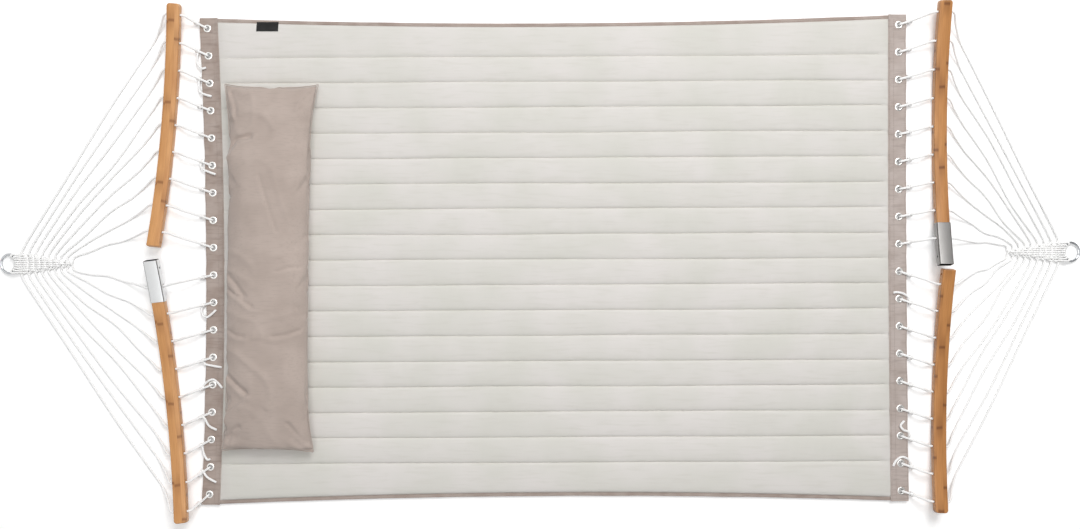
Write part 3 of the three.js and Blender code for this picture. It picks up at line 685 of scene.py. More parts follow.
class FinishBook:
    """Every finish of the hammock, made once and shared."""

    def __init__(self) -> None:
        """Make the materials."""
        # Woven and brushed polyester: matt, soft off-white with warm and cool patches
        self.quilt = WovenCloth(
            "brushed_polyester_quilting", "#d9d7d0", "#e0dcd8", "#d2cfc7", 0.7 * MM, 9 * MM, 190 * MM
        ).material()
        # Oxford-woven polyester: firm and coarse, a warm grey with dark flecks in its yarn. The right hem's
        # copy is painted paler, as painted light from the right
        self.hem = {
            End.LEFT: WovenCloth(
                "taupe_oxford_webbing", "#a8988f", "#b5a79f", "#877870", 1.0 * MM, 6 * MM, 45 * MM,
                sheen=0.1, relief=0.5 * MM,
            ).material(),
            # The same webbing painted paler: painted light on the right end
            End.RIGHT: WovenCloth(
                "pale_taupe_oxford_webbing", "#b5a8a1", "#c0b4ae", "#968982", 1.0 * MM, 6 * MM, 45 * MM,
                sheen=0.1, relief=0.5 * MM,
            ).material(),
        }
        # Finely woven polyester: a smooth taupe that pales a little where it turns away
        self.pillow = WovenCloth(
            "taupe_polyester_pillow", "#b3a49b", "#bcada4", "#a99b92", 0.7 * MM, 4 * MM, 90 * MM, sheen=0.25
        ).material()
        # Satin-woven ribbon: near black, and smoother than the cloth round it
        self.label = WovenCloth(
            "black_satin_label", "#1b1a1a", "#242323", "#100f0f", 0.5 * MM, 3 * MM, 20 * MM,
            roughness=0.55, sheen=0.0, relief=0.1 * MM,
        ).material()
        # Twisted polyester thread: matt dashes, close to the colour of the cloth that they hold
        self.thread = WovenCloth(
            "off_white_sewing_thread", "#d9d6cc", "#e4e1d8", "#bdb9ae", 0.4 * MM, 2 * MM, 30 * MM
        ).material()
        self.taupe_thread = WovenCloth(
            "taupe_sewing_thread", "#9b8d85", "#a89a92", "#84766e", 0.4 * MM, 2 * MM, 30 * MM
        ).material()
        # Braided and bleached cotton: bright white without gloss, with small lozenges of painted shade in
        # the braid's hollows
        self.cord = BraidedCotton().material()
        # Glued and clear-coated bamboo: honey brown strips, each its own shade, with a soft gloss. The left
        # copy is painted lighter and the right copy darker: painted light and shade for how each end is lit
        self.bamboo = {
            # The bamboo painted lighter: painted light on the left end
            End.LEFT: LaminatedBamboo(
                "light_laminated_bamboo", "#d1975b", "#dca46b", "#b4773f", "#8c5728"
            ).material(),
            # The same bamboo painted darker: painted shade on the right end
            End.RIGHT: LaminatedBamboo(
                "dark_laminated_bamboo", "#c08347", "#cd9257", "#9f6630", "#744218"
            ).material(),
        }
        # Pressed and brushed steel: wide blurred reflections with fine lines in them. The left copy is
        # painted pale and the right copy grey: painted reflection and shade for how each end's steel
        # mirrors its surroundings
        self.sleeve = {
            # The steel painted pale: painted reflection of a bright room on the left end
            End.LEFT: Steel("pale_brushed_steel", "#dddede", "#cecfcf", 0.36).material(),
            # The same steel painted grey: painted shade on the right end
            End.RIGHT: Steel("grey_brushed_steel", "#999795", "#8b8987", 0.46).material(),
        }
        # The same steel painted dull and almost black: painted shade for where hardly any light reaches it
        self.unlit_steel = Steel("dull_unlit_steel", "#2a2928", "#1c1b1b", 0.7).material()
        # Drawn and polished wire: narrow bright highlights that run round the ring
        self.ring = Steel("drawn_steel_ring", "#dcdee0", "#c4c6c9", 0.16, Lines.ALONG_X).material()
        # Stamped and nickel-plated metal: a clean pale rim with soft highlights
        self.eyelet = Steel("nickel_plated_eyelet", "#f0efec", "#dcdad6", 0.3).material()


# The bed's own frame


@dataclass(frozen=True)
class BedFrame:
    """Where the bed lies, and the curves of its edges and hems."""

    length: float = 2.015
    end_width: float = 1.386
    middle_width: float = 1.346
    x: float = 0.040
    y: float = 0.014
    yaw: float = 0.3
    hem_width: float = 0.047
    left_bow: float = 0.016
    right_bow: float = 0.003
    gap: float = 0.3 * MM

    @property
    def matrix(self) -> Matrix:
        """From the bed's own axes to the frame."""
        shift = Vector((self.x, self.y, 0.0)) + ORIGIN_SHIFT
        return Matrix.Translation(shift) @ Matrix.Rotation(radians(self.yaw), 4, "Z")

    def half_width(self, x: float) -> float:
        """From the middle line to the long edge, at a place along the bed."""
        share = x / (self.length / 2)
        return self.middle_width / 2 + (self.end_width - self.middle_width) / 2 * share * share

    def hem_edge(self, end: End, y: float) -> float:
        """The X of a hem's outer edge at a place along the hem, bowed in towards the bed."""
        bow = self.left_bow if end is End.LEFT else self.right_bow
        return end.value * (self.length / 2 - bow * (1 - (y / (self.end_width / 2)) ** 2))

    def quilt_x(self, share: float, y: float) -> float:
        """The X of a place along the quilt, from its left end at 0 to its right end at 1."""
        left, right = (self.hem_edge(end, y) - end.value * (self.hem_width + self.gap) for end in End)
        return left + (right - left) * share

    def rim(self, share: float) -> float:
        """Half of the bed's width, at a share of the way along the quilt's edge."""
        return self.half_width(self.quilt_x(share, self.end_width / 2))


BED = BedFrame()


@dataclass
class Quilt:
    """The quilted bed: eighteen stuffed channels, their stitching, two bindings and a label."""

    finishes: FinishBook
    channels: int = 18
    first_seam_inset: float = 95.4 * MM
    seam_wander: float = 2.2 * MM
    crown: float = 17.6 * MM
    seam_height: float = 10.8 * MM
    end_height: float = 8 * MM
    end_rise: float = 50 * MM  # from each end to where the channels are full
    underside: float = 0.2 * MM
    pucker: float = 1.1 * MM
    crease: float = 0.5 * MM
    columns: int = 12  # across one channel
    rows: int = 300
    binding_width: float = 11 * MM
    binding_height: float = 9 * MM
    binding_swell: float = 0.6 * MM
    binding_waver: float = 0.7 * MM
    binding_length: float = 1.93
    stitch: float = 4.4 * MM
    stitch_gap: float = 1.6 * MM
    thread: float = 0.9 * MM
    binding_thread: float = 0.8 * MM
    binding_stitch_inset: float = 2.6 * MM
    stitch_lift: float = 0.3 * MM
    binding_stitch_lift: float = 0.25 * MM
    label_length: float = 62 * MM
    label_width: float = 28 * MM
    label_x: float = -0.811
    label_inset: float = 6 * MM
    label_thickness: float = 0.7 * MM
    label_curl: float = 0.8 * MM
    label_lift: float = 1.1 * MM
    label_over_binding: float = 0.4 * MM
    label_over_crown: float = 0.6 * MM  # the most that the label may stand over the quilt

    @property
    def pitch(self) -> float:
        """From seam to seam."""
        return (BED.middle_width - 2 * self.first_seam_inset) / (self.channels - 2)

    @property
    def stitch_step(self) -> float:
        """From stitch to stitch, as a share of the bed's length."""
        return (self.stitch + self.stitch_gap) / BED.length

    def seam_y(self, n: int, share: float) -> float:
        """Find where a seam runs.

        Args:
            n: The seam's number, of which the first and the last are the edges.
            share: The share of the way along the bed.

        Returns:
            Its Y in the bed's own axes.
        """
        edge = BED.rim(share) - self.binding_width
        if n == 0:
            return -edge
        if n == self.channels:
            return edge
        wander = self.seam_wander * noise.noise(Vector((share * 5.0, n * 3.7, 0.5)))
        return (n - self.channels / 2) * self.pitch + wander

    def height(self, share: float, channel: int, across: float) -> float:
        """Find how high the quilt stands.

        Args:
            share: The share of the way along the bed.
            channel: The channel's number.
            across: The share of the way across the channel.

        Returns:
            Its height over the floor.
        """
        skewed = across**0.92
        puff = max(0.0, 4 * skewed * (1 - skewed)) ** 0.45
        x = share * BED.length
        fullness = 1.0 + 0.16 * noise.noise(Vector((x * 3.1, channel * 2.3, 0.0)))
        fullness += 0.07 * noise.noise(Vector((x * 11.0, channel * 5.1, 4.0)))
        to_seam = min(across, 1 - across)
        gather = exp(-to_seam / 0.16) * (1 - exp(-to_seam / 0.02))
        y = across * self.pitch
        ripple = noise.noise(Vector((x * 62.0, channel * 9.1 + across * 1.3, 1.0)))
        crease = noise.noise(Vector((x * 24.0 + y * 6.0, y * 20.0 + channel * 3.0, 7.0)))
        full = self.seam_height + (self.crown - self.seam_height) * puff * fullness
        full += self.pucker * gather * ripple + self.crease * puff * crease
        rise = share_of(min(share, 1 - share) * BED.length, self.end_rise)
        return self.end_height + (full - self.end_height) * (1 - (1 - rise) ** 2.2)

    def surface(self, share: float, channel: int, across: float) -> Vector:
        """A point of the quilt's top in the bed's own axes, by the same numbers as its height."""
        y = self.seam_y(channel, share) * (1 - across) + self.seam_y(channel + 1, share) * across
        return Vector((BED.quilt_x(share, y), y, self.height(share, channel, across)))

    def build_body(self) -> None:
        """The stuffed body, with its top in channels and its underside on the floor."""

        def place(row: int, column: int) -> Vector:
            """Find a point of the top, of which there are more near the ends and the seams.

            Args:
                row: Along the bed.
                column: Across it.

            Returns:
                The point.
            """
            share = (1 - cos(pi * row / (self.rows - 1))) / 2
            share = 0.25 * share + 0.75 * row / (self.rows - 1)
            channel = min(column // self.columns, self.channels - 1)
            step = column - channel * self.columns
            across = (1 - cos(pi * step / self.columns)) / 2
            across = 0.6 * across + 0.4 * step / self.columns
            return self.surface(share, channel, across)

        bm = lofted(self.rows, self.channels * self.columns + 1, place, closed=False)
        rim = [edge for edge in bm.edges if edge.is_boundary]
        skirt = bmesh.ops.extrude_edge_only(bm, edges=rim)["geom"]
        for vert in skirt:
            if isinstance(vert, BMVert):
                vert.co.z = self.underside
        open_rim = [edge for edge in bm.edges if edge.is_boundary]
        bmesh.ops.holes_fill(bm, edges=open_rim, sides=0)
        bmesh.ops.recalc_face_normals(bm, faces=bm.faces)
        quilt = make_piece("quilt", bm, self.finishes.quilt, BED.matrix, smooth_below=75)
        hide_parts("quilt_bed")
        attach(quilt, "bed")

    def build_stitches(self) -> None:
        """The rows of stitches that lie in the seams between channels."""
        step, margin = self.stitch_step, 0.005
        lift = Vector((0, 0, self.stitch_lift))
        rows = []
        for seam in range(1, self.channels):
            shares = [margin + n * step for n in range(int((1 - 2 * margin) / step))]
            line = [self.surface(share, seam, 0.0) + lift for share in shares]
            rows.append(stitch_row(line, self.stitch, self.thread))
        stitches = make_piece("quilt_stitching", join_meshes(rows), self.finishes.thread, BED.matrix)
        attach(stitches, "bed")

    def _waver(self, edge: Edge, share: float) -> float:
        """How far a binding strays from its line, at a share of the way along it."""
        x = share * BED.length
        return self.binding_waver * noise.noise(Vector((x * 9.0, edge.value * 5.0, 0.0)))

    def build_binding(self, edge: Edge) -> None:
        """The folded tape that closes a long edge of the quilt.

        Args:
            edge: The long edge.
        """
        rows, columns = 160, 16
        half = self.binding_width / 2 + self.binding_swell
        top = self.binding_height / 2

        def squared(value: float) -> float:
            """Push a sine or cosine out, so that a circle turns into a rounded square."""
            return copysign(abs(value) ** 0.5, value)

        def place(row: int, column: int) -> Vector:
            """Find a point of the tape.

            Args:
                row: Along the edge.
                column: Round the tape.

            Returns:
                The point.
            """
            share = row / (rows - 1)
            angle = 2 * pi * column / columns
            across, up = half * squared(cos(angle)), top * squared(sin(angle))
            swell = 1 + 0.1 * noise.noise(Vector((share * BED.length * 22.0, edge.value * 9.0, 3.0)))
            middle = BED.rim(share) - self.binding_width / 2 - BED.gap
            y = edge.value * middle + across + self._waver(edge, share)
            return Vector((BED.quilt_x(share, y), y, top + BED.gap + up * swell * 0.97))

        bm = lofted(rows, columns, place)
        name = f"{edge.name.lower()}_binding"
        tape = make_piece(f"{name}_tape", bm, self.finishes.hem[End.LEFT], BED.matrix, smooth_below=60)
        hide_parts(name)
        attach(tape, "bed")
        self._stitch_binding(edge)

    def _stitch_binding(self, edge: Edge) -> None:
        """One row of stitches along the inner side of a binding.

        Args:
            edge: The long edge.
        """
        line = []
        for n in range(int(0.985 / self.stitch_step)):
            share = 0.008 + n * self.stitch_step
            inset = self.binding_width / 2 + self.binding_stitch_inset
            y = edge.value * (BED.rim(share) - inset) + self._waver(edge, share)
            line.append(Vector((BED.quilt_x(share, y), y, self.binding_height + self.binding_stitch_lift)))
        row = stitch_row(line, self.stitch, self.binding_thread)
        name = f"{edge.name.lower()}_binding_stitching"
        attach(make_piece(name, row, self.finishes.taupe_thread, BED.matrix), "bed")

    def build_label(self) -> None:
        """The bare woven label, sewn to the upper binding and lying on the first channel."""
        rows, columns = 14, 12
        top = BED.half_width(self.label_x) - self.label_inset
        at = 0.1  # the label's share of the way along the bed
        rim, last_seam = self.seam_y(self.channels, at), self.seam_y(self.channels - 1, at)

        def place(row: int, column: int) -> Vector:
            """Find a point of the label, which rests on the binding and the channel.

            Args:
                row: Along the label.
                column: Across it.

            Returns:
                The point.
            """
            along, across = row / (rows - 1), column / (columns - 1)
            y = top - across * self.label_width
            x = self.label_x + (along - 0.5) * self.label_length
            bulge = self.height(at, self.channels - 1, share_of(y - last_seam, rim - last_seam))
            rest = max(self.binding_height + self.label_over_binding, bulge)
            curl = self.label_curl * sin(pi * along) * across
            highest = self.crown + self.label_over_crown
            return Vector((x, y, min(rest + self.label_lift + curl, highest)))

        bm = lofted(rows, columns, place, closed=False)
        thicken(bm, self.label_thickness)
        label = make_piece("sewn_label", bm, self.finishes.label, BED.matrix, smooth_below=50)
        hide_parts("edge_label")
        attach(label, "bed")


def copies_of(shape: BMesh, places: Sequence[Matrix]) -> BMesh:
    """Put one shape at many places, in one mesh.

    Args:
        shape: The shape, which is used up.
        places: Where each copy goes.

    Returns:
        The mesh with all the copies.
    """
    mesh = bpy.data.meshes.new("shape")
    whole = bmesh.new()
    done = Matrix.Identity(4)
    for place in places:
        bmesh.ops.transform(shape, matrix=place @ done.inverted(), verts=shape.verts)
        done = place
        shape.to_mesh(mesh)
        whole.from_mesh(mesh)
    shape.free()
    bpy.data.meshes.remove(mesh)
    return whole


def stitch_row(line: Sequence[Vector], length: float, width: float) -> BMesh:
    """A row of stitches: short threads that dip into the cloth at both ends.

    Args:
        line: Where the stitches begin, along the seam.
        length: From one needle hole to the next.
        width: The thread's thickness.

    Returns:
        The mesh.
    """
    stitch = bmesh.new()
    bmesh.ops.create_cube(stitch, size=1.0)
    for vert in stitch.verts:
        narrow = 0.55 if vert.co.z > 0 else 1.0
        vert.co = Vector((vert.co.x * length * narrow, vert.co.y * width, vert.co.z * width * 0.7))
    places = []
    for here, ahead in zip(line, line[1:]):
        turn = (ahead - here).to_track_quat("X", "Z").to_matrix().to_4x4()
        places.append(Matrix.Translation((here + ahead) / 2) @ turn)
    return copies_of(stitch, places)


@dataclass
class Hem:
    """An eyelet hem: a stiff folded strip with rows of stitching and eighteen plated eyelets."""

    end: End
    finishes: FinishBook
    thickness: float = 2.6 * MM
    bottom: float = 7.1 * MM
    overlap: float = 6 * MM  # the strip is sewn over the end of the quilt
    eyelets: int = 18
    end_margin: float = 30 * MM
    inset: float = 22 * MM
    bore: float = 12 * MM
    flange: float = 22 * MM
    facing: float = 38 * MM  # from the outer edge to the step of the turned-in cloth
    facing_step: float = 0.7 * MM
    facing_slope: float = 1.5 * MM
    end_fold: float = 44 * MM  # from each end of the strip to the row that closes it
    end_trim: float = 1 * MM
    edge_inset: float = 1.2 * MM
    edge_pull: float = 0.5 * MM  # how far the lacing pulls the outer edge out at each eyelet
    edge_wander: float = 1.5 * MM
    climb: float = 1.6 * MM  # how far the strip rises onto the quilt
    climb_run: float = 4 * MM
    climb_start: float = 3 * MM
    clamped: float = 5 * MM  # how far past its flange an eyelet keeps the cloth flat
    fold: float = 1.0 * MM
    wrinkle: float = 0.25 * MM
    crease: float = 0.8 * MM
    crease_width: float = 1.6 * MM
    stitch: float = 3.6 * MM
    stitch_pitch: float = 5.2 * MM
    thread: float = 0.9 * MM
    stitch_lift: float = 0.25 * MM
    row_end: float = 6 * MM  # from each end of the strip to the first stitch
    outer_row: float = 3.2 * MM  # from the outer edge to the first row
    facing_row: float = 1.5 * MM
    inner_row: float = 2.5 * MM
    fold_row: float = 2.5 * MM
    fold_row_end: float = 4 * MM
    hole_clearance: float = 0.6 * MM
    cutter_length: float = 30 * MM
    barrel_wall: float = 0.3 * MM
    eyelet_lift: float = 0.15 * MM

    @property
    def pitch(self) -> float:
        """From eyelet to eyelet."""
        return (BED.end_width - 2 * self.end_margin) / (self.eyelets - 1)

    @property
    def top(self) -> float:
        """The height of the cloth's upper face."""
        return self.bottom + self.thickness

    def eyelet_place(self, n: int) -> Vector:
        """The middle of eyelet n at the top of the cloth, in the bed's own axes."""
        y = ((self.eyelets - 1) / 2 - n) * self.pitch
        return Vector((BED.hem_edge(self.end, y) - self.end.value * self.inset, y, self.top))

    def strip_point(self, inward: float, y: float) -> Vector:
        """Find a point of the strip's upper face.

        Args:
            inward: How far it lies in from the outer edge.
            y: The place along the hem.

        Returns:
            The point in the bed's own axes.
        """
        out = self.end.value
        pull = self.edge_pull * cos(2 * pi * (y - self.eyelet_place(0).y) / self.pitch)
        wander = self.edge_wander * noise.noise(Vector((y * 9.0, out * 3.0, 0.0)))
        fade = max(0.0, 1 - inward / BED.hem_width)
        x = BED.hem_edge(self.end, y) - out * inward - out * (self.edge_inset - pull - wander) * fade
        step = share_of(inward - self.facing, self.facing_slope) * self.facing_step
        over = share_of(inward - BED.hem_width + self.climb_start, self.climb_run) * self.climb
        return Vector((x, y, self.top + step + over + self._crumple(inward, y)))

    def _crumple(self, inward: float, y: float) -> float:
        """Find how far small folds raise the strip, which is calm where an eyelet clamps it.

        Args:
            inward: How far the place lies in from the outer edge.
            y: The place along the hem.

        Returns:
            The rise.
        """
        out = self.end.value
        to_eyelet = min(
            hypot(inward - self.inset, y - self.eyelet_place(n).y) for n in range(self.eyelets)
        )
        calm = share_of(to_eyelet - self.flange / 2, self.clamped)
        fold = noise.noise(Vector((y * 55.0 + inward * 12.0, inward * 14.0, out * 2.0)))
        wrinkle = noise.noise(Vector((y * 120.0, inward * 60.0, out * 4.0)))
        from_fold = BED.end_width / 2 - abs(y) - self.end_fold
        crease = self.crease * exp(-((from_fold / self.crease_width) ** 2))
        return calm * (self.fold * min(fold, 0.35) + self.wrinkle * wrinkle) - crease

    def build_strip(self) -> None:
        """The strip of cloth, with a hole for each eyelet."""
        width = BED.hem_width + self.overlap
        rows, columns = 420, 20

        def place(row: int, column: int) -> Vector:
            """Find a point of the strip.

            Args:
                row: Along the hem.
                column: Across it.

            Returns:
                The point.
            """
            y = (row / (rows - 1) - 0.5) * (BED.end_width - self.end_trim)
            return self.strip_point(column / (columns - 1) * width, y)

        bm = lofted(rows, columns, place, closed=False)
        thicken(bm, self.thickness * 0.9)
        strip = make_piece(f"{self.end.word}_hem_strip", bm, self.finishes.hem[self.end], smooth_below=50)
        cutters = bmesh.new()
        radius = self.bore / 2 + self.hole_clearance
        for n in range(self.eyelets):
            bmesh.ops.create_cone(
                cutters, cap_ends=True, segments=20, radius1=radius, radius2=radius,
                depth=self.cutter_length, matrix=Matrix.Translation(self.eyelet_place(n)),
            )
        cut_out(strip, cutters)
        strip.data.transform(BED.matrix)
        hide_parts(f"{self.end.word}_hem")
        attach(strip, "bed")
        eyelets = self.build_eyelets()
        stitching = self.build_stitching()

    def build_eyelets(self) -> Object:
        """The plated eyelets: a rolled flange over a short barrel, whose inside is painted near black as
        painted shade.

        Returns:
            The piece.
        """
        # Radius in metres and height in millimetres, round the rolled edge and down the barrel
        profile = [
            (self.flange / 2, 0.1), (self.flange / 2 - 0.25 * MM, 0.75), (9.6 * MM, 1.25),
            (8.0 * MM, 1.35), (6.7 * MM, 0.95), (self.bore / 2, 0.0), (self.bore / 2, -2.4),
            (6.8 * MM, -3.05), (8.6 * MM, -3.1), (8.8 * MM, -2.6), (7.0 * MM, -2.3), (6.9 * MM, 0.1),
        ]
        ring = bmesh.new()
        verts = [ring.verts.new((radius, 0.0, up * MM)) for radius, up in profile]
        for pair in zip(verts, verts[1:] + verts[:1]):
            ring.edges.new(pair)
        spun(ring, 28)
        # Painted shade: the barrel's inner faces take the near-black steel
        for face in ring.faces:
            middle = face.calc_center_median()
            if middle.xy.length < self.bore / 2 + self.barrel_wall and middle.z < 0:
                face.material_index = 1
        rise = Vector((0, 0, self.eyelet_lift))
        bm = copies_of(ring, [Matrix.Translation(self.eyelet_place(n) + rise) for n in range(self.eyelets)])
        eyelets = make_piece(f"{self.end.word}_eyelets", bm, self.finishes.eyelet, BED.matrix)
        eyelets.data.materials.append(self.finishes.unlit_steel)
        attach(eyelets, "bed")
        return eyelets

    def build_stitching(self) -> Object:
        """Rows of stitches along both edges and the turned-in cloth, and one across near each end.

        Returns:
            The piece.
        """
        pitch = self.stitch_pitch
        count = int((BED.end_width - 2 * self.row_end) / pitch)
        lift = Vector((0, 0, self.stitch_lift))
        rows = []
        inwards = (self.outer_row, self.facing - self.facing_row, BED.hem_width + self.inner_row)
        for inward in inwards:
            ys = [-BED.end_width / 2 + self.row_end + n * pitch for n in range(count)]
            line = [self.strip_point(inward, y) + lift for y in ys]
            rows.append(stitch_row(line, self.stitch, self.thread))
        for side in (1, -1):
            y = side * (BED.end_width / 2 - self.end_fold + self.fold_row)
            across = int((BED.hem_width - 2 * self.fold_row_end) / pitch)
            ins = [self.fold_row_end + n * pitch for n in range(across)]
            line = [self.strip_point(inward, y) + lift for inward in ins]
            rows.append(stitch_row(line, self.stitch, self.thread))
        name = f"{self.end.word}_hem_stitching"
        stitching = make_piece(name, join_meshes(rows), self.finishes.taupe_thread, BED.matrix)
        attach(stitching, "bed")
        return stitching


@dataclass(frozen=True)
class Crease:
    """A fold in the pillow's top: a groove along a line, a soft ridge on its right and one far left."""

    points: tuple[tuple[float, float], ...]
    width: float
    depth: float
    right_ridge: float = 2.0  # from the groove, in groove widths
    left_ridge: float = 10.0

    def height(self, x: float, y: float) -> float:
        """Find how much the fold raises the cloth.

        Args:
            x: The place across the pillow.
            y: The place along it.

        Returns:
            The rise, which is below 0 in the groove.
        """
        nearest, from_ridge = 1.0, 1.0
        for (ax, ay), (bx, by) in zip(self.points, self.points[1:]):
            run_x, run_y = bx - ax, by - ay
            length = hypot(run_x, run_y)
            held = share_of(((x - ax) * run_x + (y - ay) * run_y) / length**2)
            away = hypot(x - ax - run_x * held, y - ay - run_y * held)
            if away < nearest:
                nearest = away
                on_right = (x - ax) * run_y > (y - ay) * run_x
                from_ridge = away - (self.right_ridge if on_right else self.left_ridge) * self.width
        groove = exp(-((nearest / self.width) ** 2))
        ridge = exp(-((from_ridge / (1.4 * self.width)) ** 2))
        return self.depth * (0.45 * ridge - groove)


PILLOW_CREASES = (
    Crease(((-0.017, 0.257), (0.004, 0.190), (0.034, 0.103)), 3.8 * MM, 3.4 * MM),
    Crease(((-0.112, 0.318), (-0.085, 0.354), (-0.046, 0.364)), 6.8 * MM, 8.5 * MM),
    Crease(((-0.100, -0.024), (-0.075, -0.048), (-0.054, -0.078)), 6.8 * MM, 6.5 * MM),
    Crease(((-0.106, -0.058), (-0.066, -0.082), (-0.030, -0.108)), 5.1 * MM, 5.2 * MM),
    Crease(((0.036, -0.010), (0.070, 0.002), (0.098, 0.004)), 4.2 * MM, 2.9 * MM),
    Crease(((0.026, -0.188), (0.062, -0.184), (0.096, -0.171)), 5.1 * MM, 4.2 * MM),
    Crease(((-0.102, -0.174), (-0.078, -0.186), (-0.053, -0.189)), 5.1 * MM, 4.7 * MM),
    Crease(((-0.112, -0.293), (-0.080, -0.318), (-0.047, -0.345)), 6.8 * MM, 7.8 * MM),
    Crease(((-0.108, 0.486), (-0.092, 0.452), (-0.088, 0.420)), 5.1 * MM, 4.5 * MM),
    Crease(((0.110, 0.488), (0.094, 0.462), (0.090, 0.440)), 5.1 * MM, 3.9 * MM),
    Crease(((0.112, -0.486), (0.084, -0.452), (0.066, -0.430)), 6.0 * MM, 3.9 * MM),
    Crease(((-0.110, -0.488), (-0.090, -0.452), (-0.070, -0.440)), 6.0 * MM, 3.9 * MM),
)


def reach_of(places: Sequence[float], reaches: Sequence[float], bins: int) -> Callable[[float], float]:
    """Read how far a shape reaches out at each place along it.

    Args:
        places: Where each of its points lies along it.
        reaches: How far each point lies out.
        bins: How many stretches the length is parted into.

    Returns:
        A function from a place to the furthest reach there.
    """
    low, high = min(places), max(places)
    furthest = [0.0] * bins
    for place, reach in zip(places, reaches):
        index = min(bins - 1, int((place - low) / (high - low) * bins))
        furthest[index] = max(furthest[index], reach)

    def at(place: float) -> float:
        """Blend between the two stretches on both sides of a place.

        Args:
            place: The place along the shape.

        Returns:
            The reach there.
        """
        spot = (place - low) / (high - low) * bins - 0.5
        first = max(0, min(bins - 2, floor(spot)))
        return furthest[first] + (furthest[first + 1] - furthest[first]) * share_of(spot - first)

    return at


@dataclass
class Pillow:
    """The bolster: two panels sewn round their edge and stuffed, with pointed corners."""

    finishes: FinishBook
    length: float = 1.034
    end_hollow: float = 12 * MM
    end_width: float = 0.264
    middle_width: float = 0.222
    thickness: float = 92 * MM
    seam_share: float = 0.44
    droop: float = 16 * MM
    x: float = -0.800
    y: float = -0.020
    yaw: float = -0.9
    rest_height: float = 18.6 * MM
    cell: float = 8 * MM
    dome: float = 14 * MM
    lowest: float = 0.3 * MM
    frames: int = 30
    seam_cord: float = 2.4 * MM
    fan: float = 1.6 * MM  # how high the small folds fan out from each corner
    lump: float = 2.4 * MM
    ruffle: float = 0.9 * MM
    fan_middle: float = 55 * MM  # from a corner to where its folds are highest
    fan_width: float = 34 * MM
    crease_run: float = 12 * MM  # over which the creases come in above the seam
    seam_step: float = 6 * MM

    @property
    def matrix(self) -> Matrix:
        """From the pillow's own axes to the frame."""
        place = Matrix.Translation((self.x, self.y, self.rest_height))
        return BED.matrix @ place @ Matrix.Rotation(radians(self.yaw), 4, "Z")

    def build(self) -> None:
        """Sew, stuff, settle and crease the pillow."""
        pillow = make_piece("pillow_cushion", self._panels(), self.finishes.pillow, smooth_below=180)
        border = self._border(pillow)
        self._inflate(pillow)
        self._settle(pillow)
        seam = self._build_seam([pillow.data.vertices[n].co.copy() for n in border])
        finer = pillow.modifiers.new("finer", "SUBSURF")
        finer.levels = finer.render_levels = 1
        applied(pillow)
        self._crease(pillow)
        pillow.data.transform(self.matrix)
        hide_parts("pillow")
        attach(pillow, "pillow")
        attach(seam, "pillow")

    def _panels(self) -> BMesh:
        """Sew two slightly domed panels together along their border.

        Returns:
            The mesh.
        """
        columns = round(self.end_width / self.cell)
        rows = round(self.length / self.cell)
        bm = bmesh.new()
        for sign in (1, -1):
            made = bmesh.ops.create_grid(bm, x_segments=columns, y_segments=rows, size=1.0)["verts"]
            for vert in made:
                u, v = vert.co.x, vert.co.y
                dome = max(0.0, (1 - u**4) * (1 - v**8)) ** 0.5
                half = (u * self.end_width / 2, v * self.length / 2)
                vert.co = Vector((*half, sign * self.dome * dome))
        bmesh.ops.remove_doubles(bm, verts=bm.verts, dist=10 * WELD)
        bmesh.ops.recalc_face_normals(bm, faces=bm.faces)
        return bm

    def _border(self, pillow: Object) -> list[int]:
        """Find the points of the sewn border.

        Args:
            pillow: The flat pillow.

        Returns:
            Their numbers, in order round it.
        """
        at_edge = 0.9999
        around = []
        for vert in pillow.data.vertices:
            u, v = vert.co.x / (self.end_width / 2), vert.co.y / (self.length / 2)
            if v < -at_edge:
                around.append((4 - u, vert.index))
            elif u > at_edge:
                around.append((2 - v, vert.index))
            elif v > at_edge:
                around.append((u, vert.index))
            elif u < -at_edge:
                around.append((6 + v, vert.index))
        return [index for _, index in sorted(around)]

    def _inflate(self, pillow: Object) -> None:
        """Blow the sewn panels up by cloth simulation, so that the seams pull in and crease.

        Args:
            pillow: The flat pillow.
        """
        cloth = pillow.modifiers.new("stuffing", "CLOTH")
        behaviour = {
            "quality": 6, "mass": 0.25, "tension_stiffness": 22, "compression_stiffness": 22,
            "shear_stiffness": 8, "bending_stiffness": 0.2, "use_pressure": True,
            "uniform_pressure_force": 2.2, "air_damping": 3.0,
        }
        for name, value in behaviour.items():
            setattr(cloth.settings, name, value)
        cloth.settings.effector_weights.gravity = 0.0
        cloth.point_cache.frame_start = 1
        cloth.point_cache.frame_end = self.frames
        for number in range(1, self.frames + 1):
            bpy.context.scene.frame_set(number)
        applied(pillow)
        bpy.context.scene.frame_set(1)

    def _settle(self, pillow: Object) -> None:
        """Bring the stuffed pillow to its outline and let it settle on the bed.

        Args:
            pillow: The stuffed pillow.
        """
        verts = pillow.data.vertices
        to_right, to_left, to_top, to_bottom = (
            reach_of(
                [v.co[1 - axis] for v in verts if (v.co[axis] >= 0) == (sign > 0)],
                [sign * v.co[axis] for v in verts if (v.co[axis] >= 0) == (sign > 0)], bins,
            )
            for axis, sign, bins in ((0, 1, 90), (0, -1, 90), (1, 1, 24), (1, -1, 24))
        )
        highest = max(v.co.z for v in verts)
        deepest = -min(v.co.z for v in verts)
        LOG.info("stuffed to %.0f mm before settling", (highest + deepest) / MM)
        seam = self.seam_share * self.thickness
        for vert in verts:
            x, y, z = vert.co
            u = max(-1.0, min(1.0, x / (to_right(y) if x >= 0 else to_left(y))))
            v = max(-1.0, min(1.0, y / (to_top(x) if y >= 0 else to_bottom(x))))
            width = self.middle_width / 2 + (self.end_width - self.middle_width) / 2 * v**6
            length = self.length / 2 - self.end_hollow * (1 - u**4)
            if u < 0:
                width += self._left_waver(v) * u * u
            edge = seam - self.droop * abs(u * v) ** 7
            if z > 0:
                up = edge + z / highest * (self.thickness - seam)
            else:
                up = edge * (1 - min(1.0, -z / deepest)) ** 2.2
            vert.co = Vector((u * width, v * length, max(up, self.lowest)))

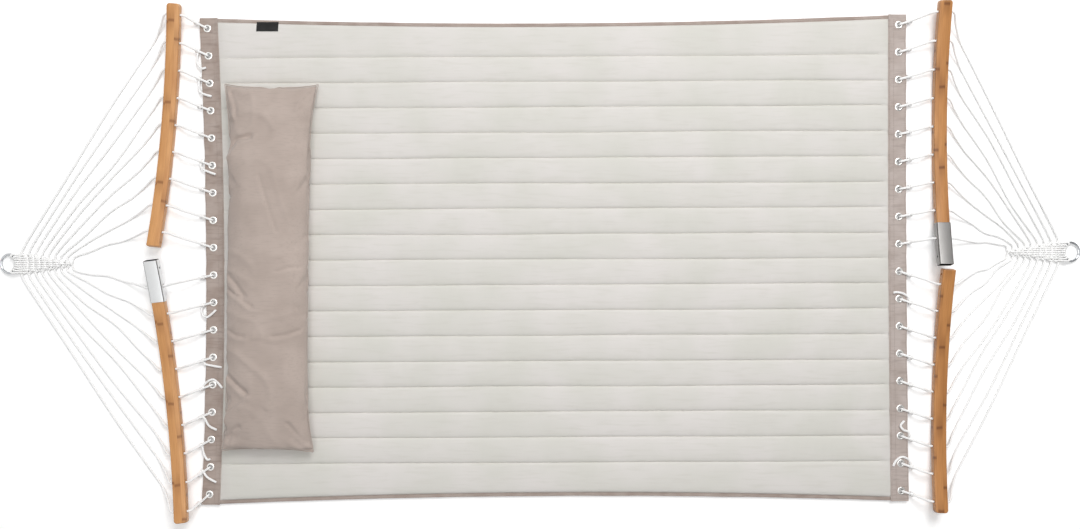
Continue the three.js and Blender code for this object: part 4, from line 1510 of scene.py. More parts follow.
    @staticmethod
    def _left_waver(v: float) -> float:
        """Find how far the left side bulges out, with a deep dent near the top and a small one below.

        Args:
            v: The place along the pillow, from -1 to 1.

        Returns:
            The bulge.
        """
        dent = -9 * MM * exp(-(((v - 0.67) / 0.035) ** 2))
        dent -= 5 * MM * exp(-(((v + 0.54) / 0.03) ** 2))
        shoulder = 4 * MM * exp(-(((v - 0.58) / 0.05) ** 2))
        return dent + shoulder + 3 * MM * noise.noise(Vector((v * 7.0, 2.0, 0.0)))

    def _crease(self, pillow: Object) -> None:
        """Press the creases and a little unevenness into the pillow's top.

        Args:
            pillow: The settled pillow.
        """
        seam = self.seam_share * self.thickness
        corner_x, corner_y = self.end_width / 2, self.length / 2
        for vert in pillow.data.vertices:
            x, y, z = vert.co
            top = share_of(z - seam * 0.75, self.crease_run)
            if top == 0.0:
                continue
            lift = sum(crease.height(x, y) for crease in PILLOW_CREASES)
            from_corner = Vector((corner_x - abs(x), corner_y - abs(y)))
            angle = atan2(from_corner.y, from_corner.x)
            near = exp(-(((from_corner.length - self.fan_middle) / self.fan_width) ** 2))
            lift += self.fan * near * sin(11 * angle + x * 40)
            lift += self.lump * noise.noise(Vector((x * 13.0, y * 9.0, 1.0)))
            lift += self.ruffle * noise.noise(Vector((x * 42.0, y * 30.0, 5.0)))
            vert.co.z = min(z + top * lift, self.thickness)

    def _build_seam(self, line: Sequence[Vector]) -> Object:
        """The rolled seam along a line of points round the border."""
        seam = rope(smooth_path([*line, line[0]], self.seam_step), self.seam_cord, 8)
        return make_piece("pillow_seam", seam, self.finishes.pillow, self.matrix)


# Spreader bars


@dataclass(frozen=True)
class BarPlace:
    """Where a half's inner end lies, as a standoff from the bed, and how far it turns."""

    standoff: float
    y: float
    yaw: float


@dataclass(frozen=True)
class HalfSizes:
    """What differs between the two halves of a bar."""

    length: float  # from the inner end, or the sleeve's mouth, to the outer end
    margin: float  # from the outer end to the outermost hole
    pitch: float  # from hole to hole


HALF_SIZES = {
    Half.FREE: HalfSizes(0.690, 31 * MM, 77 * MM),
    Half.FIXED: HalfSizes(0.748, 32 * MM, 80 * MM),
}


@dataclass
class SpreaderHalf:
    """Half of a spreader bar: a laminated lath bent flat, drilled for nine cords."""

    end: End
    half: Half
    place: BarPlace
    finishes: FinishBook
    width: float = 36 * MM
    thickness: float = 22 * MM
    bend_radius: float = 1.75
    edge_round: float = 3 * MM
    end_round: float = 9 * MM
    plug_round: float = 2 * MM
    hole: float = 10 * MM
    lock_hole: float = 7 * MM
    cords: int = 9
    sleeve_length: float = 120 * MM
    socket: float = 40 * MM
    wall: float = 1.5 * MM
    clearance: float = 0.4 * MM
    lock_from_mouth: float = 24 * MM
    lock_from_plug: float = 14 * MM
    sleeve_lip: float = 0.6 * MM
    sleeve_bead: float = 0.05 * MM

    @property
    def is_fixed(self) -> bool:
        """Whether this half carries the sleeve."""
        return self.half is Half.FIXED

    @property
    def is_upper(self) -> bool:
        """Whether this half lies on the +Y side."""
        return self.is_fixed == (self.end is End.RIGHT)

    @property
    def length(self) -> float:
        """From the inner end, or the sleeve's mouth, to the outer end."""
        return HALF_SIZES[self.half].length

    @property
    def body(self) -> str:
        """The body that this half moves with."""
        return f"{self.end.word}_{self.half.value}_half"

    def holes(self) -> list[float]:
        """Where the cord holes are, from the innermost to the outermost."""
        sizes = HALF_SIZES[self.half]
        return [self.length - sizes.margin - (self.cords - 1 - n) * sizes.pitch for n in range(self.cords)]

    def point(self, along: float, across: float, up: float) -> Vector:
        """Find a point of the bent lath.

        Args:
            along: From the inner end, along the bend.
            across: To the side of its middle line.
            up: Over the middle of its thickness.

        Returns:
            The point in its own axes: Y outwards, Z up, on the floor at its lowest.
        """
        angle = (along - self.length / 2) / self.bend_radius
        radius = self.bend_radius - up
        height = self.bend_radius + self.thickness / 2 - radius * cos(angle)
        return Vector((across, radius * sin(angle), height))

    @property
    def matrix(self) -> Matrix:
        """From the half's own axes to the frame.

        Returns:
            The matrix.
        """
        lean = self.place.yaw if self.end is End.LEFT else -self.place.yaw
        turn = -lean if self.is_upper else 180 + lean
        rotation = Matrix.Rotation(radians(turn), 4, "Z")
        inner = rotation @ self.point(0.0, 0.0, 0.0)
        x = BED.x + self.end.value * (BED.length / 2 + self.place.standoff)
        shift = Vector((x - inner.x, self.place.y - inner.y, 0.0)) + ORIGIN_SHIFT
        return Matrix.Translation(shift) @ rotation

    def _straight(self, start: float, stop: float) -> BMesh:
        """Shape a straight lath with rounded edges, cut across so that it can be bent.

        Args:
            start: Where the lath begins, from the inner end.
            stop: Where it ends.

        Returns:
            The mesh, still straight.
        """
        bm = bmesh.new()
        bmesh.ops.create_cube(bm, size=1.0)
        bmesh.ops.scale(bm, vec=(self.width, stop - start, self.thickness), verts=bm.verts)
        bmesh.ops.translate(bm, vec=(0.0, (start + stop) / 2, 0.0), verts=bm.verts)
        for at, size in ((start, self.plug_round), (stop, self.end_round)):
            corners = [
                edge for edge in bm.edges
                if all(abs(v.co.y - at) < WELD for v in edge.verts)
                and abs(edge.verts[0].co.z - edge.verts[1].co.z) > self.thickness / 2
            ]
            bmesh.ops.bevel(
                bm, geom=corners, offset=size, segments=5, profile=0.5, affect="EDGES", material=-1
            )
        sharp = [edge for edge in bm.edges if edge.calc_face_angle(0) > radians(50)]
        bmesh.ops.bevel(
            bm, geom=sharp, offset=self.edge_round, segments=4, profile=0.5, affect="EDGES", material=-1
        )
        cuts = 44
        for n in range(1, cuts):
            at = start + (stop - start) * n / cuts
            bmesh.ops.bisect_plane(
                bm, geom=list(bm.verts) + list(bm.edges) + list(bm.faces),
                plane_co=(0, at, 0), plane_no=(0, 1, 0), dist=WELD,
            )
        return bm

    def _drill(self, bm: BMesh, along: float, diameter: float) -> None:
        """Add a cutter for one cross hole.

        Args:
            bm: The mesh of cutters.
            along: Where the hole is, from the inner end.
            diameter: Its diameter.
        """
        reach = self.width / 2 + self.wall + self.clearance
        radius = diameter / 2
        turn = Matrix.Translation(self.point(along, 0.0, 0.0)) @ Matrix.Rotation(pi / 2, 4, "Y")
        bmesh.ops.create_cone(
            bm, cap_ends=True, segments=24, radius1=radius, radius2=radius, depth=2.4 * reach, matrix=turn
        )

    def _map_grain(self, bar: Object) -> None:
        """Give the lath a UV map that follows its bend: U round the section, V along it.

        Args:
            bar: The lath, in its own axes.
        """
        mesh = bar.data
        layer = mesh.uv_layers.get("UVMap") or mesh.uv_layers.new(name="UVMap")
        # Each half takes its grain from another place, so that no two look the same
        seed = Vector((self.end.value, len(self.half.value), 0.0)) * 7.31 + Vector((3.7, 1.9, 0.4))
        offset = noise.cell(seed) * 0.1
        centre_z = self.bend_radius + self.thickness / 2
        for loop in mesh.loops:
            co = mesh.vertices[loop.vertex_index].co
            up = self.bend_radius - hypot(co.y, centre_z - co.z)
            along = atan2(co.y, centre_z - co.z) * self.bend_radius + self.length / 2
            layer.data[loop.index].uv = (co.x + 0.5 + 0.8 * up + offset, along + offset * 9)

    def build_bar(self) -> None:
        """The drilled bamboo lath."""
        bm = self._straight(self.socket if self.is_fixed else 0.0, self.length)
        for vert in bm.verts:
            vert.co = self.point(vert.co.y, vert.co.x, vert.co.z)
        name = f"{self.end.word}_{self.half.value}_bar"
        bar = make_piece(f"{name}_lath", bm, self.finishes.bamboo[self.end])
        drills = bmesh.new()
        for along in self.holes():
            self._drill(drills, along, self.hole)
        if not self.is_fixed:
            self._drill(drills, self.lock_from_plug, self.lock_hole)
        cut_out(bar, drills)
        self._map_grain(bar)
        bar.data.set_sharp_from_angle(angle=radians(40))
        bar.data.transform(self.matrix)
        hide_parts(name)
        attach(bar, self.body)

    def _section(self, share: float, grow: float, radius: float) -> tuple[float, float]:
        """Find a point of the sleeve's section, a rounded rectangle.

        Args:
            share: The share of the way round it.
            grow: How far it lies outside the sleeve's inner face.
            radius: The round of its corners.

        Returns:
            The place across the lath and the place up.
        """
        angle = 2 * pi * share
        corner_x = self.width / 2 + self.clearance + grow - radius
        corner_z = self.thickness / 2 + self.clearance + grow - radius
        quarter = int(angle // (pi / 2))
        across = (corner_x if quarter in (0, 3) else -corner_x) + radius * cos(angle)
        up = (corner_z if quarter in (0, 1) else -corner_z) + radius * sin(angle)
        return across, up

    def build_sleeve(self) -> None:
        """The pressed steel sleeve over the inner end of the fixed half."""
        rows, columns = 26, 32
        reach, wall, lip, bead = self.sleeve_length, self.wall, self.sleeve_lip, self.sleeve_bead
        outer, rim, inner = 4.4 * MM, 4 * MM, 3 * MM
        outside = [(lip + (reach - 2 * lip) * n / (rows - 1), wall, outer) for n in range(rows - 1)]
        inside = [(reach - reach * (n + 0.5) / rows, 0.0, inner) for n in range(rows)]
        stations = [
            *outside, (reach - lip, wall, outer), (reach, wall - lip, rim), (reach, bead, inner),
            *inside, (0.0, bead, inner), (0.0, wall - lip, rim), outside[0],
        ]

        def place(row: int, column: int) -> Vector:
            """Find a point of the shell, outside first and then back inside.

            Args:
                row: Along the sleeve.
                column: Round it.

            Returns:
                The point.
            """
            along, grow, radius = stations[row]
            return self.point(along, *self._section((column + 0.5) / columns, grow, radius))

        bm = lofted(len(stations), columns, place, capped=False)
        name = f"{self.end.word}_sleeve"
        sleeve = make_piece(f"{name}_shell", bm, self.finishes.sleeve[self.end])
        drills = bmesh.new()
        self._drill(drills, self.holes()[0], self.hole)
        self._drill(drills, self.lock_from_mouth, self.lock_hole)
        cut_out(sleeve, drills)
        # Painted shade: the sleeve's inside is painted near black
        self._darken_inside(sleeve)
        sleeve.data.set_sharp_from_angle(angle=radians(40))
        sleeve.data.transform(self.matrix)
        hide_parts(name)
        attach(sleeve, self.body)

    def _darken_inside(self, sleeve: Object) -> None:
        """Paint the sleeve's inner faces near black with the steel's painted shade, for where hardly any
        light reaches.

        Args:
            sleeve: The sleeve, in the half's own axes.
        """
        sleeve.data.materials.append(self.finishes.unlit_steel)
        half_width = self.width / 2 + self.clearance + 0.2 * self.wall
        half_height = self.thickness / 2 + self.clearance + 0.2 * self.wall
        centre_z = self.bend_radius + self.thickness / 2
        for face in sleeve.data.polygons:
            up = self.bend_radius - hypot(face.center.y, centre_z - face.center.z)
            if abs(face.center.x) < half_width and abs(up) < half_height:
                face.material_index = 1


# Rings, clews and cords


@dataclass(frozen=True)
class CordSizes:
    """Sizes that every cord shares."""

    diameter: float = 6 * MM
    laced_diameter: float = 6.6 * MM  # beyond the bar, where the cord hangs slack and fuller
    lead: float = 8 * MM  # how far a cord runs straight on from the clew, a hole or the hem's edge
    fan_rise: float = 85 * MM  # from where a cord leaves the floor to the bar
    fan_places: tuple[float, float] = (0.34, 0.7)  # shares of the way to there where it sways
    hole_drop: float = 1.32 * MM
    knot_length: float = 15 * MM
    knot_clearance: float = 1 * MM
    bend_inset: float = 7.8 * MM
    bend_steps: int = 6
    floor_z: float = 3.3 * MM
    top_z: float = 14.1 * MM
    sag: float = 0.1 * MM
    fan_step: float = 7 * MM
    lacing_step: float = 3.5 * MM
    tail_step: float = 3 * MM


CORD = CordSizes()


def rope(path: Sequence[Vector], diameter: float, sides: int = 12) -> BMesh:
    """Run a closed tube of cord along a path, with a UV map for its braid.

    Args:
        path: The cord's centreline.
        diameter: The cord's thickness.
        sides: How many sides the tube has.

    Returns:
        The mesh.
    """
    frames = frames_along(path)
    last = len(path) - 1

    def place(row: int, column: int) -> Vector:
        """Find a point of the tube, a little narrower at its two ends.

        Args:
            row: Along the cord.
            column: Round it.

        Returns:
            The point.
        """
        side, other = frames[row]
        angle = 2 * pi * column / sides
        radius = diameter / 2 * (0.86 if row in (0, last) else 1.0)
        return path[row] + (side * cos(angle) + other * sin(angle)) * radius

    bm = lofted(len(path), sides, place)
    scale_uv(bm, 1.0, length_of(path))
    return bm


def join_meshes(parts: Sequence[BMesh]) -> BMesh:
    """Put several meshes into one.

    Args:
        parts: The meshes, which are used up.

    Returns:
        The one mesh.
    """
    whole = bmesh.new()
    whole.loops.layers.uv.new("UVMap")
    for part in parts:
        mesh = bpy.data.meshes.new("part")
        part.to_mesh(mesh)
        part.free()
        whole.from_mesh(mesh)
        bpy.data.meshes.remove(mesh)
    return whole


@dataclass
class RingAndClew:
    """The steel ring, the cord loops round it and the woven clew that they run into."""

    end: End
    reach: float
    y: float
    finishes: FinishBook
    diameter: float = 60 * MM
    wire: float = 7 * MM
    loops: int = 9
    spread: float = 66.0
    loop_cord: float = 5.6 * MM
    rows: int = 9
    row_pitch: float = 17 * MM
    ring_width: float = 56 * MM
    tip_width: float = 14 * MM
    tuck: float = 0.6 * MM
    height: float = 12 * MM
    loop_sides: int = 10
    wrap_start: float = 78.0  # where a loop meets the wire, as an angle round it from the bed's side
    wrap_turn: float = 204.0  # how far round the wire it goes
    wrap_steps: int = 10
    layer_rise: float = 1.5 * MM
    loop_rise: float = 1 * MM
    loop_step: float = 2.2 * MM
    loop_lift: float = 0.2 * MM
    strand_step: float = 2.4 * MM
    strand_floor: float = 2.9 * MM
    weft_shift: float = 3 * MM
    turn_run: float = 4 * MM  # along the lane and then across it, where a strand turns off
    turn_swing: float = 1 * MM
    edge_inset: float = 5 * MM

    @property
    def radius(self) -> float:
        """From the ring's middle to the middle of its wire."""
        return (self.diameter - self.wire) / 2

    @property
    def loop_radius(self) -> float:
        """Outside of a loop round the wire."""
        return self.wire / 2 + BED.gap + CORD.diameter

    @property
    def tilt(self) -> float:
        """How far the ring leans on its loops, in radians."""
        lift = self.loop_radius + BED.gap - self.wire / 2
        return asin(lift / (self.radius * (1 + cos(radians(self.spread)))))

    @property
    def centre(self) -> Vector:
        """The ring's middle in the frame.

        Returns:
            The place.
        """
        x = BED.x + self.end.value * (BED.length / 2 + self.reach)
        up = self.wire / 2 + self.radius * sin(self.tilt)
        return Vector((x, self.y, up)) + ORIGIN_SHIFT

    @property
    def matrix(self) -> Matrix:
        """From the ring's own flat axes to the frame."""
        lean = Matrix.Rotation(self.end.value * self.tilt, 4, "Y")
        return Matrix.Translation(self.centre) @ lean

    @property
    def low(self) -> float:
        """The height of the clew's lower layer."""
        return self.loop_cord / 2 + BED.gap

    def clew_place(self, row: float, share: float) -> Vector:
        """Find a place on the clew.

        Args:
            row: The row, from the ring.
            share: The share of the half width, from -1 to 1.

        Returns:
            The place, on the floor.
        """
        start = self.radius + self.loop_radius + BED.gap - self.tuck
        row_share = row / self.rows
        width = self.ring_width + (self.tip_width - self.ring_width) * row_share
        y = share * width / 2
        hollow = start - sqrt(start * start - y * y)
        x = start + row * self.row_pitch - hollow * (1 - row_share)
        middle = self.centre
        return Vector((middle.x - self.end.value * x, middle.y + y, 0.0))

    def build_ring(self) -> None:
        """The round steel wire ring."""
        bm = bmesh.new()
        turn = Matrix.Translation((self.radius, 0, 0)) @ Matrix.Rotation(pi / 2, 4, "X")
        bmesh.ops.create_circle(bm, segments=20, radius=self.wire / 2, matrix=turn)
        spun(bm, 72)
        ring = make_piece(f"{self.end.word}_steel_ring", bm, self.finishes.ring, self.matrix)
        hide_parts(f"{self.end.word}_ring")
        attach(ring, f"{self.end.word}_ring")

    def _lane_y(self, lane: int) -> float:
        """How far a lane of the clew lies from its middle line."""
        return self.radius * sin(radians(self.spread)) * lane / (self.loops // 2)

    def _loop_path(self, lane: int) -> list[Vector]:
        """Lead one loop round the wire, from the clew's upper layer to its lower one.

        Args:
            lane: The loop's lane, from the middle one at 0.

        Returns:
            The loop's points.
        """
        y = self._lane_y(lane)
        angle = asin(y / self.radius)
        out = -self.end.value
        to_bed = Vector((out * cos(angle), sin(angle), 0.0))
        wrap = self.wire / 2 + BED.gap + self.loop_cord / 2
        around = []
        for n in range(self.wrap_steps + 1):
            turn = radians(self.wrap_start + self.wrap_turn * n / self.wrap_steps)
            rise = Vector((0, 0, wrap * sin(turn)))
            around.append(self.matrix @ (to_bed * (self.radius + wrap * cos(turn)) + rise))
        enter = self.clew_place(0.1, 0.0)
        upper = Vector((enter.x, self.centre.y + y, self.height - self.loop_cord / 2 + self.loop_rise))
        lower = Vector((enter.x, self.centre.y + y, self.low))
        lowest = self.loop_cord / 2 + self.loop_lift
        return smooth_path([upper, *around, lower], self.loop_step, lowest)

    def build_loops(self) -> None:
        """The row of loops that hangs the clew on the ring."""
        half = self.loops // 2
        parts = [
            rope(self._loop_path(lane), self.loop_cord, self.loop_sides) for lane in range(-half, half + 1)
        ]
        loops = make_piece(f"{self.end.word}_clew_loops", join_meshes(parts), self.finishes.cord)
        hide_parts(f"{self.end.word}_ring_loops")
        start = self.clew_place(0.1, 0.0)
        stop = self.clew_place(-0.45, 0.0)
        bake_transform(loops)

    def _strand_path(self, lane: int, upper_first: bool) -> list[Vector]:
        """Lead one strand of the clew down its lane, weaving, and out at the far side.

        Args:
            lane: The strand's lane, from the middle one at 0.
            upper_first: Whether it starts in the upper layer.

        Returns:
            The path's points.
        """
        out = self.end.value
        row = 2 * (self.loops // 2 - abs(lane)) + (0 if upper_first else 1)
        side = -1 if lane > 0 else 1
        if lane == 0:
            row = self.rows - 1
            side = 1 if upper_first else -1
        high, low = self.height - self.loop_cord / 2 + self.layer_rise, self.low
        y = self.centre.y + self._lane_y(lane)
        enter = self.clew_place(0.1, 0.0)
        points = [Vector((enter.x, y, high if upper_first else low))]
        for n in range(row):
            over = upper_first == (n % 2 == 0)
            x = enter.x - out * (n + 0.5) * self.row_pitch
            points.append(Vector((x, y, high if over else low)))
        middle = (high + low) / 2
        beside = self.weft_shift if lane > 0 else -self.weft_shift
        weft_x = enter.x - out * ((row + 0.5) * self.row_pitch + beside)
        edge = self.clew_place(row + 0.5, side)
        turn_x = weft_x + out * self.turn_run
        points.append(Vector((turn_x, y - side * self.turn_swing, middle)))
        points.append(Vector((weft_x, y + side * self.turn_run, middle)))
        points.append(Vector((weft_x, edge.y - side * self.edge_inset, middle)))
        points.append(self.leave_point(row, side) + self.leave_direction(side) * 2.5 * MM)
        return points

    def leave_direction(self, side: int) -> Vector:
        """The way that cords leave an edge of the clew."""
        slope = atan2(self.ring_width - self.tip_width, 2 * self.rows * self.row_pitch)
        return Vector((-self.end.value * sin(slope), side * cos(slope), 0.0))

    def leave_point(self, row: int, side: int) -> Vector:
        """Where the cord of a row leaves the clew, on the side of +Y for 1 and of -Y for -1."""
        start = self.clew_place(row + 0.5, side) + self.leave_direction(side) * BED.gap
        return Vector((start.x, start.y, self.height / 2))

    def build_clew(self) -> None:
        """The woven clew: eighteen strands, two of which cross over and leave at each row."""
        half = self.loops // 2
        parts = []
        for lane in range(-half, half + 1):
            for upper_first in (True, False):
                stops = self._strand_path(lane, upper_first)
                path = smooth_path(stops, self.strand_step, self.strand_floor)
                parts.append(rope(path, self.loop_cord, self.loop_sides))
        clew = make_piece(f"{self.end.word}_woven_clew", join_meshes(parts), self.finishes.cord)
        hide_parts(f"{self.end.word}_clew")
        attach(clew, "bed")


# How far each cord sways to its left, in millimetres, at the two places where it does
SWAYS = {
    End.LEFT: (
        (4, 6), (7, 4), (9, 2), (6, -6), (10, 7), (8, 9), (3, 9), (6, 4), (2, 5),
        (-3, 4), (-4, -7), (-6, -3), (-9, 6), (-6, -6), (-10, 3), (-7, -8), (-6, -4), (-4, -6),
    ),
    End.RIGHT: (
        (0, 1), (2, 1), (5, 9), (-5, 5), (7, 9), (-4, 6), (8, 3), (4, -5), (3, 4),
        (-3, -6), (4, -5), (-8, -4), (3, -8), (-9, -9), (-3, 5), (-8, 3), (-5, -8), (-3, -5),
    ),
}
# How far each cord's slack stands up between the bar and the hem, in millimetres
HUMPS = {
    End.LEFT: (0, 2, 4, 6, 8, 14, 8, 10, 9, 16, 8, 12, 10, 14, 9, 8, 5, 2),
    End.RIGHT: (0, 0, 0, 5, 8, 12, 9, 12, 14, 10, 13, 12, 14, 10, 12, 9, 10, 5),
}
# The free tails that show: millimetres from the eyelet, towards the bed and along +Y
TAILS = {
    End.LEFT: {
        1: ((-31, -22), (-16, -37), (-5, -34)),
        2: ((-27, -24), (-8, -34), (8, -38)),
        5: ((-31, -7), (-12, -17), (12, -26)),
        10: ((-34, -22), (-30, -36), (-18, -42), (-5, -34), (9, -21)),
        12: ((-22, -19), (2, -24), (26, -28)),
        13: ((-23, 1), (-9, 12), (4, 15), (18, 4), (29, -9)),
        14: ((-21, -16), (-6, -39), (15, -50)),
        15: ((-26, -20), (-22, -38), (-10, -56), (-1, -55)),
        16: ((-25, -9), (-8, -28), (18, -43)),
    },
    End.RIGHT: {
        10: ((-26, 3), (-10, 15), (8, 19), (19, 18)),
        15: ((-22, 11), (-6, 18), (2, 29), (-8, 44)),
        16: ((-22, 10), (0, 19), (16, 8), (24, -7)),
    },
}


@dataclass(frozen=True)
class CordRoute:
    """Every place that one cord runs through, in the frame, and the way it runs over the hem."""

    half: SpreaderHalf
    start: Vector
    lead: Vector
    fan: list[Vector]
    foot: Vector
    before: Vector
    hole: Vector
    after: Vector
    hump: Vector
    over_edge: Vector
    bend: list[Vector]
    knot: Vector
    eyelet: Vector
    inward: Vector


@dataclass
class Lacing:
    """The eighteen cords of one end, from the clew through the bar to the eyelets of the hem."""

    end: End
    hem: Hem
    rig: RingAndClew
    halves: dict[Half, SpreaderHalf]
    finishes: FinishBook
    tied_in_z: float = 12.2 * MM
    tied_under_z: float = 6.4 * MM
    under_run: float = 9 * MM
    under_dip: float = 3 * MM
    knot_turns: float = 2.4
    knot_steps: int = 40
    knot_cord: float = 5.2 * MM
    knot_run: float = 9.5 * MM
    knot_z: float = 8.6 * MM
    knot_reach: tuple[float, float] = (4.3 * MM, 5.4 * MM)  # of a turn, sideways and up
    tail_start_z: float = 9 * MM
    tail_z: float = 10 * MM
    tail_on_hem_z: float = 14 * MM

    def half_of(self, n: int) -> SpreaderHalf:
        """The half that cord n goes through."""
        return next(h for h in self.halves.values() if h.is_upper == (n < self.hem.eyelets // 2))

    def route(self, n: int) -> CordRoute:
        """Find every place that a cord runs through.

        Args:
            n: The cord's number, from the +Y side.

        Returns:
            Its route.
        """
        out = self.end.value
        half = self.half_of(n)
        from_outside = n if half.is_upper else self.hem.eyelets - 1 - n
        along = half.holes()[half.cords - 1 - from_outside]
        local = half.point(along, 0.0, 0.0) - Vector((0, 0, CORD.hole_drop))
        hole = half.matrix @ local
        across = (half.matrix.to_3x3() @ Vector((1, 0, 0))).normalized()
        to_bed = across * (-out * copysign(1, across.x))
        in_sleeve = half.is_fixed and from_outside == half.cords - 1
        extra = half.wall + half.clearance if in_sleeve else 0.0
        cover = half.width / 2 + extra + CORD.lead
        outward = 1 if half.is_upper else -1
        start = self.rig.leave_point(from_outside, outward)
        lead = start + self.rig.leave_direction(outward) * CORD.lead
        before, after = hole - to_bed * cover, hole + to_bed * cover
        run = before - lead
        run.z = 0
        run.normalize()
        foot = before - run * CORD.fan_rise
        foot.z = CORD.floor_z
        sideways = Vector((-run.y, run.x, 0.0)) * -out
        fan = []
        for share, sway in zip(CORD.fan_places, SWAYS[self.end][n]):
            point = lead.lerp(foot, share) + sideways * sway * MM
            point.z = CORD.floor_z
            fan.append(point)
        eyelet = BED.matrix @ self.hem.eyelet_place(n)
        inward = eyelet - after
        inward.z = 0
        inward.normalize()
        bend_radius = (CORD.top_z - CORD.floor_z) / 2
        centre = eyelet - inward * CORD.bend_inset
        centre.z = CORD.floor_z + bend_radius
        bend = []
        for m in range(CORD.bend_steps + 1):
            angle = pi / 2 - pi * m / CORD.bend_steps
            rise = Vector((0, 0, bend_radius * sin(angle)))
            bend.append(centre + inward * (bend_radius * cos(angle)) + rise)
        slant = abs(inward.x)
        to_edge = self.hem.inset / slant - CORD.bend_inset
        over_edge = centre - inward * (to_edge + CORD.lead)
        over_edge.z = CORD.top_z + BED.gap
        knot = centre - inward * (to_edge + (CORD.knot_length / 2 + CORD.knot_clearance) / slant)
        hump = after.lerp(over_edge, 0.5)
        hump.z += HUMPS[self.end][n] * MM
        return CordRoute(
            half, start, lead, fan, foot, before, hole, after, hump, over_edge, bend, knot, eyelet, inward
        )

    def build_fan_cord(self, n: int, route: CordRoute) -> None:
        """The cord from the clew to its hole in the bar.

        Args:
            n: The cord's number.
            route: Its route.
        """
        dip = Vector((0, 0, -0.1 * (route.before.z - route.foot.z)))
        climb = route.foot.lerp(route.before, 0.55) + dip
        stops = [route.start, route.lead, *route.fan, route.foot, climb, route.before, route.hole]
        path = smooth_path(stops, CORD.fan_step, CORD.floor_z - CORD.sag)
        number = f"{n + 1:02d}"
        name = f"{self.end.word}_fan_cord_{number}"
        cord = make_piece(name, rope(path, CORD.diameter), self.finishes.cord)
        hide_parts(f"{self.end.word}_cord_{number}")
        route.half.body
        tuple(route.lead)
        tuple(route.before)
        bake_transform(cord)
        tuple(route.start)
        length_of(path)

    def build_lacing(self, n: int, route: CordRoute) -> None:
        """The cord from its hole in the bar over the hem, round the eyelet's rim and back to its knot.

        Args:
            n: The cord's number.
            route: Its route.
        """
        tied_in = route.knot + Vector((0, 0, self.tied_in_z - route.knot.z))
        tied_under = route.knot + Vector((0, 0, self.tied_under_z - route.knot.z))
        under = tied_under + route.inward * self.under_run + Vector((0, 0, -self.under_dip))
        stops = [
            route.hole, route.after, route.hump, route.over_edge, tied_in, *route.bend, under, tied_under
        ]
        path = smooth_path(stops, CORD.lacing_step, CORD.floor_z - CORD.sag)
        name = f"{self.end.word}_lacing_cord_{n + 1:02d}"
        lacing = make_piece(name, rope(path, CORD.laced_diameter), self.finishes.cord)
        route.half.body
        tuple(route.after)
        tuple(route.over_edge)
        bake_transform(lacing)

    def knot_parts(self, n: int, route: CordRoute) -> list[BMesh]:
        """Wind the turns of one knot, and lay its free tail if it shows one.

        Args:
            n: The cord's number.
            route: Its route.

        Returns:
            The meshes.
        """
        knot, inward = route.knot, route.inward
        side = Vector((-inward.y, inward.x, 0.0))
        wide, high = self.knot_reach
        path = []
        for m in range(self.knot_steps + 1):
            share = m / self.knot_steps
            angle = 2 * pi * self.knot_turns * share + n * 0.9
            centre = knot + inward * ((share - 0.5) * self.knot_run)
            centre.z = self.knot_z
            rise = Vector((0, 0, high * sin(angle)))
            path.append(centre + side * (wide * cos(angle)) + rise)
        parts = [rope(path, self.knot_cord, 10)]
        tail = TAILS[self.end].get(n)
        if tail:
            stops = [knot + Vector((0, 0, self.tail_start_z - knot.z))]
            for towards_bed, along in tail:
                over_hem = towards_bed * MM > -self.hem.inset
                x = route.eyelet.x - self.end.value * towards_bed * MM
                up = self.tail_on_hem_z if over_hem else self.tail_z
                stops.append(Vector((x, route.eyelet.y + along * MM, up)))
            parts.append(rope(smooth_path(stops, CORD.tail_step), CORD.laced_diameter))
        return parts

    def build(self) -> None:
        """Every cord of this end, and one piece for its knots."""
        knots = []
        for n in range(self.hem.eyelets):
            route = self.route(n)
            self.build_fan_cord(n, route)
            self.build_lacing(n, route)
            knots.extend(self.knot_parts(n, route))
        tied = make_piece(f"{self.end.word}_cord_knots", join_meshes(knots), self.finishes.cord)
        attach(tied, "bed")


# Surroundings


